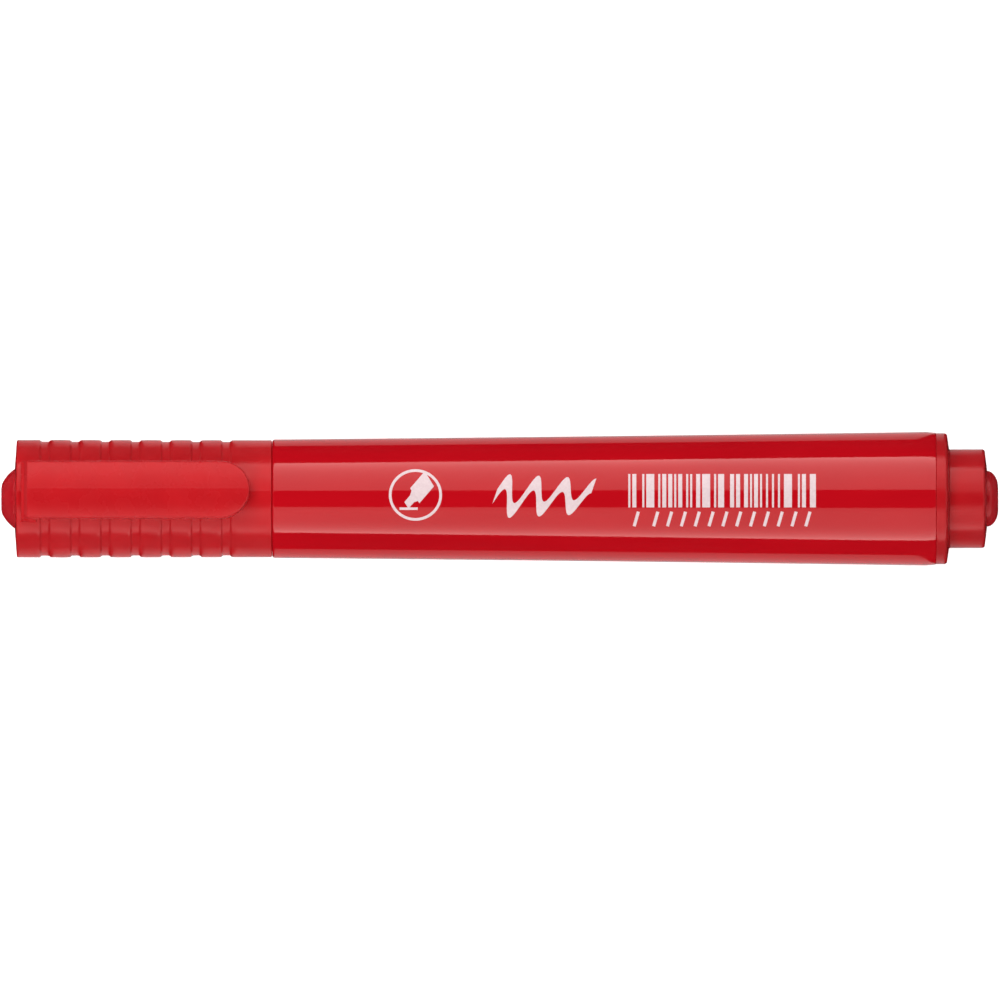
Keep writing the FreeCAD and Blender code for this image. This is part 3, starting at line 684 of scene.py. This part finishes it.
class MARKER_OT_pocket_clip(bpy.types.Operator):
    """Pocket clip: a strip bowed to the cap's curve, with its root block, ledge, tongue and gripping pip"""
    bl_idname = "marker.pocket_clip"
    bl_label = "Pocket Clip"

    def execute(self, context):
        sizes = context.scene.marker_clip
        half = sizes.width / 2
        root = CLIP_LOW.x
        tip = CLIP_HIGH.x
        piece = self.flat_strip(sizes, root, tip, half)
        self.shape_root(piece, sizes, root)
        self.soften_edges(piece, sizes, root)
        self.shape_ridges(piece, sizes, root, context.scene.marker_cap.parting_height)
        self.bow_to_cap(piece, sizes)
        self.add_tongue(piece, root)
        finish_mesh(piece, smooth_degrees=38)
        give_finish(piece, clip_finish(context))
        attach(piece, "pocket_clip")
        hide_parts("pocket_clip")
        return {"FINISHED"}

    def flat_strip(self, sizes, root, tip, half):
        """A disc whose back half is drawn out to the root, then thickened downwards."""
        begin_alone()
        bpy.ops.mesh.primitive_circle_add(vertices=64, radius=half, fill_type="NGON",
                                          location=(tip - half, 0, 0))
        piece = name_piece("clip_moulding")
        bpy.ops.object.transform_apply(location=True, rotation=True, scale=True)
        edit(piece)
        pick(piece, "VERT", lambda vert: vert.co.x < tip - half - WELD)
        bpy.ops.mesh.delete(type="VERT")
        pick(piece, "VERT", lambda vert: vert.co.x < tip - half + WELD)
        bpy.ops.mesh.extrude_region_move(
            TRANSFORM_OT_translate={"value": (root - (tip - half), 0, 0)})
        bpy.ops.mesh.select_mode(type="EDGE")
        bpy.ops.mesh.select_all(action="SELECT")
        bpy.ops.mesh.edge_face_add()
        bpy.ops.mesh.select_all(action="SELECT")
        bpy.ops.mesh.dissolve_limited(angle_limit=math.radians(0.1))
        bpy.ops.mesh.select_all(action="SELECT")
        bpy.ops.mesh.extrude_region_move(
            TRANSFORM_OT_translate={"value": (0, 0, -sizes.thickness)})
        bpy.ops.mesh.select_all(action="SELECT")
        bpy.ops.mesh.normals_make_consistent(inside=False)
        return piece

    def shape_root(self, piece, sizes, root):
        """Drops the ledge, slopes the riser and draws the block down to the cap, wider at its foot."""
        cuts = (root + sizes.ledge_length, root + sizes.ledge_length + sizes.riser_length,
                root + sizes.block_length)
        slice_mesh(cuts, (1, 0, 0))
        ledge_end = cuts[0] + WELD
        pick(piece, "VERT", lambda vert: vert.co.x < ledge_end and vert.co.z > -WELD)
        bpy.ops.transform.translate(value=(0, 0, -sizes.ledge_drop))
        pick(piece, "VERT", lambda vert: vert.co.x < root + WELD and vert.co.z > -sizes.ledge_drop - WELD)
        bpy.ops.transform.translate(value=(0, 0, -sizes.ledge_fall))
        block_end = cuts[2] + WELD

        def under_block(face):
            low = face.normal.z < -0.9 and face.calc_center_median().z < -sizes.thickness + WELD
            return low and all(vert.co.x < block_end for vert in face.verts)

        pick(piece, "FACE", under_block)
        block_drop = sizes.face_radius - sizes.thickness - sizes.base_radius
        bpy.ops.mesh.extrude_region_move(TRANSFORM_OT_translate={"value": (0, 0, -block_drop)})
        bpy.ops.transform.resize(value=(1.0, sizes.base_flare, 1.0))

    def soften_edges(self, piece, sizes, root):
        """Rounds the outer rim well, the ledge's lip next and the other outside edges a little."""
        face_start = root + sizes.ledge_length + sizes.riser_length - WELD
        lowest = -sizes.thickness - WELD

        def outer_rim(edge):
            on_top = all(vert.co.z > -WELD and vert.co.x > face_start for vert in edge.verts)
            return on_top and edge.calc_face_angle(0.0) > 1.2

        def ledge_lip(edge):
            on_end = all(vert.co.x < root + WELD and vert.co.z > lowest / 2 - sizes.ledge_drop / 2
                         for vert in edge.verts)
            return on_end and edge.calc_face_angle(0.0) > 1.2

        def other_edges(edge):
            return edge.calc_face_angle(0.0) > 0.6 and all(vert.co.z > lowest for vert in edge.verts)

        for chosen, offset, segments in ((outer_rim, sizes.edge_rounding, 5), (ledge_lip, 0.2 * MM, 4),
                                         (other_edges, 0.07 * MM, 2)):
            pick(piece, "EDGE", chosen)
            bpy.ops.mesh.bevel(offset=offset, segments=segments, affect="EDGES", clamp_overlap=True)

    def shape_ridges(self, piece, sizes, root, parting_height):
        """Slices the strip lengthwise, raises the parting line and presses out the pip under the tip."""
        one_side = [PARTING_HALF, 2 * PARTING_HALF] + [mm * MM for mm in (0.5, 1.0, 1.5, 2.0, 2.5, 3.0, 3.4)]
        slice_mesh([-place for place in one_side] + [0.0] + one_side, (0, 1, 0))
        pick(piece, "VERT", lambda vert: abs(vert.co.y) < WELD and vert.co.z > -WELD)
        bpy.ops.transform.translate(value=(0, 0, parting_height))
        pip_start = root + 24.2 * MM
        stations = [pip_start + 2.4 * MM * part / 8 for part in range(9)]
        slice_mesh(stations, (1, 0, 0))
        for part, station in enumerate(stations[1:-1], start=1):

            def under(vert):
                low = vert.co.z < -sizes.thickness + 0.05 * MM
                return low and abs(vert.co.x - station) < WELD and abs(vert.co.y) < 1.6 * MM

            pick(piece, "VERT", under)
            bpy.ops.transform.translate(value=(0, 0, -sizes.pip_height * math.sin(math.pi * part / 8)))

    def bow_to_cap(self, piece, sizes):
        """Lowers each lengthwise row of points onto its curve about the axis; the sides stay upright."""
        row_width = 0.004 * MM
        block_foot = -sizes.thickness - 0.7 * MM
        rows = {round(vert.co.y / row_width) for vert in bmesh.from_edit_mesh(piece.data).verts}
        for row in sorted(rows):
            for is_foot, radius in ((False, sizes.face_radius), (True, sizes.base_radius)):

                def in_row(vert):
                    return round(vert.co.y / row_width) == row and (vert.co.z < block_foot) == is_foot

                pick(piece, "VERT", in_row)
                across = row * row_width
                drop = radius - math.sqrt(radius ** 2 - across ** 2)
                bpy.ops.transform.translate(value=(0, 0, AXIS_Z + sizes.face_radius - drop))
        bpy.ops.object.mode_set(mode="OBJECT")

    def add_tongue(self, piece, root):
        """The tongue that locks into the cap's slot, grown out of the block's underside."""
        begin_alone()
        low_z = CLIP_LOW.z
        high_z = AXIS_Z + 8.6 * MM
        bpy.ops.mesh.primitive_cube_add(size=1.0, location=(root + 1.25 * MM, 0, (low_z + high_z) / 2))
        tongue = name_piece("tongue")
        tongue.scale = (1.0 * MM, 4.8 * MM, high_z - low_z)
        bpy.ops.object.transform_apply(location=True, rotation=True, scale=True)
        edit(tongue)
        pick(tongue, "EDGE", lambda edge: all(vert.co.z < low_z + WELD for vert in edge.verts))
        bpy.ops.mesh.bevel(offset=0.2 * MM, segments=2, affect="EDGES")
        begin_alone()
        apply_modifier(piece, "BOOLEAN", operation="UNION", object=tongue, solver="EXACT")
        bpy.data.objects.remove(tongue)


class MARKER_OT_buttons(bpy.types.Operator):
    """The two domed buttons, pressed into the cap's crown and into the tail plug's boss"""
    bl_idname = "marker.buttons"
    bl_label = "Buttons"

    def execute(self, context):
        finish = button_finish(context)
        for node, body, outward, dome in (("crown_button", "cap_shell", -1, self.ball_dome()),
                                          ("tail_button", "tail_plug", 1, self.pillow_dome())):
            low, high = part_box(node)
            apex, inner = (low.x, high.x) if outward < 0 else (high.x, low.x)
            seat = apex - outward * 1.98 * MM
            corners = [(apex - outward * fall, out) for fall, out in dome]
            corners += [
                (seat - outward * 0.06 * MM, BUTTON_RADIUS),
                (seat - outward * SEAT_DEPTH, BUTTON_RADIUS, 0.04 * MM),
                (seat - outward * SEAT_DEPTH, BUTTON_STEM),
                (inner, BUTTON_STEM, 0.15 * MM),
                (inner, 0.0),
            ]
            outline = softened(corners, closed=False)
            piece = turned(node + "_moulding", outline, context.scene.marker_barrel.facets, closed=False)
            give_finish(piece, finish)
            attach(piece, body)
            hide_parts(node)
        return {"FINISHED"}

    def ball_dome(self):
        """Falls and radii of a ball cut off flat, with the flat's edge polished round."""
        flat, ball, cut = 1.4 * MM, 4.75 * MM, 0.2 * MM
        first, last = math.asin(flat / ball), math.asin(3.88 * MM / ball)
        steps = 14
        points = [(cut, 0.0), (cut, 0.9 * MM)]
        for step in range(steps + 1):
            angle = first + (last - first) * step / steps
            fall = ball * (math.cos(first) - math.cos(angle))
            points.append((cut + max(fall - 0.12 * MM, 0.35 * fall), ball * math.sin(angle)))
        return points

    def pillow_dome(self):
        """Falls and radii of a lower dome with full shoulders."""
        flat, rim, rise, cut = 1.5 * MM, 3.7 * MM, 1.5 * MM, 0.5 * MM
        steps = 16
        points = [(cut, 0.0)]
        for step in range(steps + 1):
            angle = math.pi / 2 * step / steps
            points.append((cut + rise * (1 - math.cos(angle)), flat + (rim - flat) * math.sin(angle)))
        return points


class MARKER_OT_tail_plug(bpy.types.Operator):
    """Tail plug: beaded skirt inside the barrel, collar behind it, and the boss that the cap is posted on"""
    bl_idname = "marker.tail_plug"
    bl_label = "Tail Plug"

    def execute(self, context):
        start = PLUG_LOW.x
        skirt_end = start + 8.6 * MM
        rim = skirt_end + 1.45 * MM
        boss_foot = rim + 0.3 * MM
        boss_rim = boss_foot + 4.7 * MM
        face = PLUG_HIGH.x
        skirt, bead, collar, boss = 7.38 * MM, 7.42 * MM, 8.68 * MM, 6.545 * MM
        skirt_hollow, boss_hollow = 6.3 * MM, 5.2 * MM
        corners = [(start, skirt_hollow, 0.1 * MM), (start, skirt, 0.3 * MM)]
        for bead_mm in (1.0, 4.0):
            corners += [
                (start + bead_mm * MM, skirt),
                (start + (bead_mm + 0.35) * MM, bead),
                (start + (bead_mm + 0.65) * MM, bead),
                (start + (bead_mm + 1.0) * MM, skirt),
            ]
        corners += [
            (skirt_end, skirt),
            (skirt_end, collar, 0.08 * MM),
            (rim, collar, 0.42 * MM),
            (boss_foot, boss, 0.12 * MM),
            (boss_rim, boss, 0.38 * MM),
            (face, SEAT_RADIUS, 0.06 * MM),
            (face - SEAT_DEPTH, SEAT_RADIUS),
            (face - SEAT_DEPTH, STEM_HOLE),
            (face - END_WALL, STEM_HOLE),
            (face - END_WALL, boss_hollow),
            (rim, boss_hollow),
            (skirt_end, skirt_hollow),
        ]
        piece = turned("tail_plug_moulding", softened(corners), context.scene.marker_barrel.facets)
        # The plug's darker red is painted shade, not a different plastic.
        give_finish(piece, shaded_plug_finish(context))
        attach(piece, "tail_plug")
        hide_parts("tail_plug")
        return {"FINISHED"}


class MARKER_OT_nib(bpy.types.Operator):
    """Chisel nib: a felt rod ground to two flats that meet at a slanted edge"""
    bl_idname = "marker.nib"
    bl_label = "Nib"

    def execute(self, context):
        radius = 2.5 * MM
        front = NIB_LOW.x - 0.24 * MM
        outline = [
            (front, 0.0),
            (front, radius),
            (NIB_HIGH.x - 2.5 * MM, radius),
            (NIB_HIGH.x, 1.3 * MM),
            (NIB_HIGH.x, 0.0),
        ]
        piece = turned("nib_felt", outline, 96, closed=False)
        edit(piece)
        edge_half_mm = 0.65
        wedge = math.atan2(3.0 - edge_half_mm, 4.6)
        for side in (1, -1):
            bpy.ops.mesh.select_all(action="SELECT")
            bpy.ops.mesh.bisect(
                plane_co=(front, 0, AXIS_Z + side * edge_half_mm * MM),
                plane_no=(-math.sin(wedge), 0, side * math.cos(wedge)), use_fill=True, clear_outer=True)
        slant = math.atan2(2.6, 5.5)
        bpy.ops.mesh.select_all(action="SELECT")
        bpy.ops.mesh.bisect(plane_co=(front, -3.0 * MM, 0), plane_no=(-math.cos(slant), math.sin(slant), 0),
                            use_fill=True, clear_outer=True)
        ground_end = front + 5 * MM
        pick(piece, "EDGE",
             lambda edge: edge.calc_face_angle(0.0) > 0.35 and edge.verts[0].co.x < ground_end)
        bpy.ops.mesh.bevel(offset=0.16 * MM, segments=3, affect="EDGES", clamp_overlap=True)
        finish_mesh(piece)
        give_finish(piece, inked_felt(tuple(context.scene.marker_finishes.nib)))
        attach(piece, "barrel")
        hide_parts("nib")
        return {"FINISHED"}


class MARKER_OT_inner_pieces(bpy.types.Operator):
    """Finishes for the pieces inside: nib holder, inner cap, ink reservoir and its film"""
    bl_idname = "marker.inner_pieces"
    bl_label = "Inner Pieces"

    def execute(self, context):
        colours = context.scene.marker_finishes
        # The nib holder takes the tail plug's darker red, painted shade included.
        give_finish(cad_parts["nib_holder"], shaded_plug_finish(context))
        give_finish(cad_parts["inner_cap"], soft_polyethylene(tuple(colours.liner)))
        give_finish(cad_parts["ink_reservoir"], fibre_bundle(tuple(colours.fibre)))
        give_finish(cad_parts["reservoir_film"], wrap_film())
        return {"FINISHED"}


class MARKER_OT_print(bpy.types.Operator):
    """Printed marks on the barrel: nib pictogram in a ring, pen flourish, a row of bars and dashes"""
    bl_idname = "marker.print"
    bl_label = "Print"

    def execute(self, context):
        barrel = bpy.data.objects["barrel_moulding"]
        finish = pad_printed_ink(tuple(context.scene.marker_finishes.ink))
        for name, draw in (
            ("print_pictogram", self.draw_pictogram),
            ("print_flourish", self.draw_flourish),
            ("print_bars", self.draw_bars),
            ("print_dashes", self.draw_dashes),
        ):
            begin_alone()
            bpy.ops.mesh.primitive_plane_add(size=MM)
            piece = name_piece(name)
            edit(piece)
            bpy.ops.mesh.select_all(action="SELECT")
            bpy.ops.mesh.delete(type="VERT")
            draw()
            self.lay_on_barrel(piece, barrel)
            give_finish(piece, finish)
            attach(piece, "barrel")
        return {"FINISHED"}

    def start_stroke(self, place):
        """Adds one vertex to the flat print, to extrude a stroke from."""
        bpy.ops.mesh.select_mode(type="VERT")
        bpy.ops.mesh.primitive_plane_add(size=MM)
        bpy.ops.mesh.merge(type="CENTER")
        bpy.ops.transform.translate(value=place)

    def rectangle(self, low_x, high_x, low_y, high_y, turn_degrees=0.0):
        """Adds a filled rectangle to the flat print, turned about its own middle."""
        bpy.ops.mesh.primitive_plane_add(size=1.0)
        bpy.ops.transform.resize(value=(high_x - low_x, high_y - low_y, 1.0))
        if turn_degrees:
            bpy.ops.transform.rotate(value=-math.radians(turn_degrees), orient_axis="Z",
                                     center_override=(0, 0, 0))
        bpy.ops.transform.translate(value=((low_x + high_x) / 2, (low_y + high_y) / 2, 0))

    def draw_pictogram(self):
        """A ring round a chisel-tipped pen that draws a line."""
        centre_x = SHOULDER_X + 18.98 * MM
        centre_y = 0.5 * MM
        tilt = math.radians(50)
        along = Vector((math.cos(tilt), math.sin(tilt), 0))
        edge = Vector((-math.sin(tilt), math.cos(tilt), 0)) + along * 0.35
        self.start_stroke(Vector((centre_x, centre_y, 0)) - along * 1.85 * MM - edge * 0.5 * MM)
        bpy.ops.mesh.extrude_region_move(TRANSFORM_OT_translate={"value": edge * MM})
        bpy.ops.mesh.select_all(action="SELECT")
        for length, widening in ((1.15, 1.0), (0.55, 1.55), (0.02, 1.45), (3.0, 1.0)):
            bpy.ops.mesh.extrude_region_move(TRANSFORM_OT_translate={"value": along * length * MM})
            bpy.ops.transform.resize(value=(widening, widening, 1.0))
        bpy.ops.mesh.primitive_circle_add(vertices=96, radius=3.52 * MM, fill_type="NGON",
                                          location=(centre_x, centre_y, 0))
        bpy.ops.mesh.select_mode(type="FACE")
        bpy.ops.mesh.inset(thickness=0.36 * MM)
        bpy.ops.mesh.delete(type="FACE")
        self.rectangle(centre_x - 2.1 * MM, centre_x + 0.3 * MM,
                       centre_y - 2.05 * MM, centre_y - 1.71 * MM)
        # The pad rolls round the barrel, so the mark is a little shorter seen from straight above.
        bpy.ops.mesh.select_all(action="SELECT")
        bpy.ops.transform.resize(value=(1.0, 0.968, 1.0), center_override=(centre_x, centre_y, 0))

    def draw_flourish(self):
        """A wavy stroke, thick and thin as the slanted edge of a chisel nib draws it."""
        start = SHOULDER_X + 29.15 * MM
        length = 12.6 * MM
        stroke = 1.95 * MM
        slant = 0.35
        waves = 3.25
        steps = 104
        low = 0.3 * MM - stroke / 2

        def height(part):
            return math.sin(math.tau * waves * part) * (2.0 - 0.6 * part) * MM

        self.start_stroke((start, low, 0))
        bpy.ops.mesh.extrude_region_move(TRANSFORM_OT_translate={"value": (slant * stroke, stroke, 0)})
        bpy.ops.mesh.select_all(action="SELECT")
        for step in range(steps):
            climb = height((step + 1) / steps) - height(step / steps)
            bpy.ops.mesh.extrude_region_move(
                TRANSFORM_OT_translate={"value": (length / steps + slant * climb, climb, 0)})

    def draw_bars(self):
        """Bars of one to four modules, in an order drawn from a fixed seed."""
        order = random.Random(7)
        modules = 95
        module = 25.08 * MM / modules
        start = SHOULDER_X + 47.15 * MM
        at = 0
        while at < modules:
            end = min(at + order.choice((1, 1, 1, 2, 2, 3, 4)), modules)
            self.rectangle(start + at * module, start + end * module, -1.15 * MM, 3.27 * MM)
            at = end + order.choice((1, 1, 1, 2, 2, 3))

    def draw_dashes(self):
        """A row of thirteen slanted dashes under the bars, the first standing apart."""
        start = SHOULDER_X + 48.2 * MM
        for dash in range(13):
            middle = start + (dash * 1.83 + 0.75 * (dash > 0)) * MM
            self.rectangle(-0.2 * MM, 0.2 * MM, -1.0 * MM, 1.0 * MM, -16)
            bpy.ops.transform.translate(value=(middle, -2.68 * MM, 0))

    def lay_on_barrel(self, piece, barrel):
        """Turns the flat print to face up beside the clip's line and lays it on the barrel as a thin film."""
        slice_mesh([0.4 * MM * step for step in range(-9, 10)], (0, 1, 0))
        slice_mesh([SHOULDER_X + 4.0 * MM * step for step in range(1, 20)], (1, 0, 0))
        bpy.ops.object.mode_set(mode="OBJECT")
        piece.rotation_euler = (CLIP_TURN, 0, 0)
        facing = Vector((0, -math.sin(CLIP_TURN), math.cos(CLIP_TURN)))
        piece.location = Vector((0, 0, AXIS_Z)) + facing * 12 * MM
        bpy.context.view_layer.update()
        apply_modifier(piece, "SHRINKWRAP", target=barrel, wrap_method="PROJECT", use_project_z=True,
                       use_positive_direction=False, use_negative_direction=True, offset=0.014 * MM)
        select_alone(piece)
        bpy.ops.object.transform_apply(location=True, rotation=True, scale=True)
        apply_modifier(piece, "SOLIDIFY", thickness=0.01 * MM, offset=-1.0)
        finish_mesh(piece, smooth_degrees=30)


class MARKER_OT_stage(bpy.types.Operator):
    """Pale floor, two soft boxes, long panels and cards for the plastic to reflect, and the camera"""
    bl_idname = "marker.stage"
    bl_label = "Stage"

    def execute(self, context):
        studio = context.scene.marker_studio
        self.lay_floor(studio)
        self.set_surround(context)
        self.soft_box("soft_box_far", studio.box_tilt, studio.box_power * 1.03)
        self.soft_box("soft_box_near", -studio.box_tilt, studio.box_power * 0.97)
        self.panel("panel_far", (8.0, 65.3, 70.0), (1.8, 1.0, 3.0, 4))
        self.panel("panel_near", (-23.6, -76.5, -84.5), (1.55, 0.4, 4.6, 5))
        self.card("card_below", (0.15, 1.08), (0, 0.06, -0.3), (0, 0, 0), studio.table_reflection)
        # The card beyond the tail is the brighter, so that walls facing the cap's end stay dark.
        for name, side, share in (("card_cap_end", -1, 0.4), ("card_tail_end", 1, 1.5)):
            self.card(name, (0.7, 1.2), (0.6 * side, 0, 0.42), (0, math.radians(-55 * side), 0),
                      studio.end_reflection * share)
        self.place_camera(context, studio)
        context.scene.view_settings.view_transform = "Standard"
        return {"FINISHED"}

    def lay_floor(self, studio):
        begin_alone()
        bpy.ops.mesh.primitive_plane_add(size=12.0)
        floor = name_piece("floor")
        give_finish(floor, matt_paper(studio.floor_glow))
        floor.visible_glossy = False

    def set_surround(self, context):
        """White wherever the view passes the floor; the soft boxes alone do the lighting."""
        world = bpy.data.worlds.new("white_surround")
        world.use_nodes = True
        background = world.node_tree.nodes["Background"]
        background.inputs["Color"].default_value = (1.0, 1.0, 1.0, 1.0)
        background.inputs["Strength"].default_value = 1.0
        world.cycles_visibility.glossy = False
        world.cycles_visibility.diffuse = False
        context.scene.world = world

    def around(self, degrees, reach):
        """The place at an angle from straight up about the marker's axis."""
        angle = math.radians(degrees)
        return Vector((0, math.sin(angle), math.cos(angle))) * reach + Vector((0, 0, AXIS_Z))

    def soft_box(self, name, degrees, power):
        """A soft box, a little towards the cap's end, that lights the surfaces but shows in no reflection."""
        begin_alone()
        length, width, reach, towards_cap = 0.9, 0.3, 0.9, 0.14
        place = self.around(degrees, reach) - Vector((towards_cap, 0, 0))
        aim = (Vector((0, 0, AXIS_Z)) - place).to_track_quat("-Z", "Y")
        bpy.ops.object.light_add(type="AREA", location=place, rotation=aim.to_euler())
        lamp = name_piece(name)
        lamp.data.shape = "RECTANGLE"
        lamp.data.size = length
        lamp.data.size_y = width
        lamp.data.energy = power
        lamp.visible_glossy = False
        lamp.visible_camera = False

    def panel(self, name, angles, strengths):
        """A long glowing panel between two angles from straight up, its outer edge askew along the barrel."""
        begin_alone()
        reach, length = 0.6, 1.6
        inner, outer_cap, outer_tail = (self.around(angle, reach) for angle in angles)
        outer = (outer_cap + outer_tail) / 2
        across = outer - inner
        bpy.ops.mesh.primitive_plane_add(size=1.0)
        panel = name_piece(name)
        panel.scale = (length, across.length, 1.0)
        panel.location = (inner + outer) / 2
        panel.rotation_euler = (math.atan2(across.z, across.y), 0, 0)
        bpy.ops.object.transform_apply(location=True, rotation=True, scale=True)
        edit(panel)
        askew_from = 38.5 * MM
        slice_mesh((-askew_from, askew_from), (1, 0, 0))
        middle = (inner + outer) / 2
        for end in (-1, 1):

            def on_outer_edge(vert):
                return vert.co.x * end > askew_from - WELD and (vert.co - middle).dot(across) > 0

            pick(panel, "VERT", on_outer_edge)
            bpy.ops.transform.translate(value=(outer_tail - outer_cap) / 2 * end)
        bpy.ops.object.mode_set(mode="OBJECT")
        self.show_in_reflections_only(panel, strengths)

    def card(self, name, size, place, turn, strength):
        """A plain glowing card."""
        begin_alone()
        bpy.ops.mesh.primitive_plane_add(size=1.0)
        card = name_piece(name)
        card.scale = (*size, 1.0)
        card.location = place
        card.rotation_euler = turn
        self.show_in_reflections_only(card, (strength, 0.0, 0.0, 1.0))

    def show_in_reflections_only(self, panel, strengths):
        give_finish(panel, even_glow(panel.name, strengths))
        panel.visible_diffuse = False
        panel.visible_camera = False
        panel.visible_shadow = False
        panel.visible_transmission = False

    def place_camera(self, context, studio):
        begin_alone()
        up = Vector((0, math.cos(CLIP_TURN), math.sin(CLIP_TURN)))
        facing = Vector((0, -math.sin(CLIP_TURN), math.cos(CLIP_TURN)))
        target = Vector((-0.11 * MM, 0, AXIS_Z)) - up * 0.17 * MM
        bpy.ops.object.camera_add(location=target + facing * studio.camera_distance,
                                  rotation=(CLIP_TURN, 0, 0))
        camera = name_piece("camera")
        camera.data.sensor_width = 36.0
        camera.data.lens = 36.0 * studio.camera_distance / studio.view_width
        camera.data.clip_end = 20.0
        context.scene.camera = camera


# ---- panel and registration --------------------------------------------------------------------------

PIECES = (
    MARKER_OT_barrel,
    MARKER_OT_cap_shell,
    MARKER_OT_pocket_clip,
    MARKER_OT_buttons,
    MARKER_OT_tail_plug,
    MARKER_OT_nib,
    MARKER_OT_inner_pieces,
    MARKER_OT_print,
    MARKER_OT_stage,
)

GROUPS = {
    "marker_barrel": MarkerBarrelSizes,
    "marker_cap": MarkerCapSizes,
    "marker_clip": MarkerClipSizes,
    "marker_finishes": MarkerFinishes,
    "marker_studio": MarkerStudio,
}


class MARKER_PT_panel(bpy.types.Panel):
    """Lists the marker's pieces and the sizes and colours that shape them"""
    bl_idname = "MARKER_PT_panel"
    bl_label = "Felt Tip Marker"
    bl_space_type = "VIEW_3D"
    bl_region_type = "UI"
    bl_category = "Marker"

    def draw(self, context):
        layout = self.layout
        for piece in PIECES:
            layout.operator(piece.bl_idname, text=piece.bl_label)
        for group in GROUPS:
            box = layout.box()
            settings = getattr(context.scene, group)
            for name in settings.bl_rna.properties.keys():
                if name not in ("rna_type", "name"):
                    box.prop(settings, name)


def register():
    for group, kind in GROUPS.items():
        bpy.utils.register_class(kind)
        setattr(bpy.types.Scene, group, bpy.props.PointerProperty(type=kind))
    for piece in PIECES:
        bpy.utils.register_class(piece)
    bpy.utils.register_class(MARKER_PT_panel)


def unregister():
    bpy.utils.unregister_class(MARKER_PT_panel)
    for piece in reversed(PIECES):
        bpy.utils.unregister_class(piece)
    for group, kind in reversed(GROUPS.items()):
        delattr(bpy.types.Scene, group)
        bpy.utils.unregister_class(kind)


def main():
    register()
    bpy.ops.marker.barrel()
    bpy.ops.marker.cap_shell()
    bpy.ops.marker.pocket_clip()
    bpy.ops.marker.buttons()
    bpy.ops.marker.tail_plug()
    bpy.ops.marker.nib()
    bpy.ops.marker.inner_pieces()
    bpy.ops.marker.print()
    bpy.ops.marker.stage()


if __name__ == "__main__":
    main()
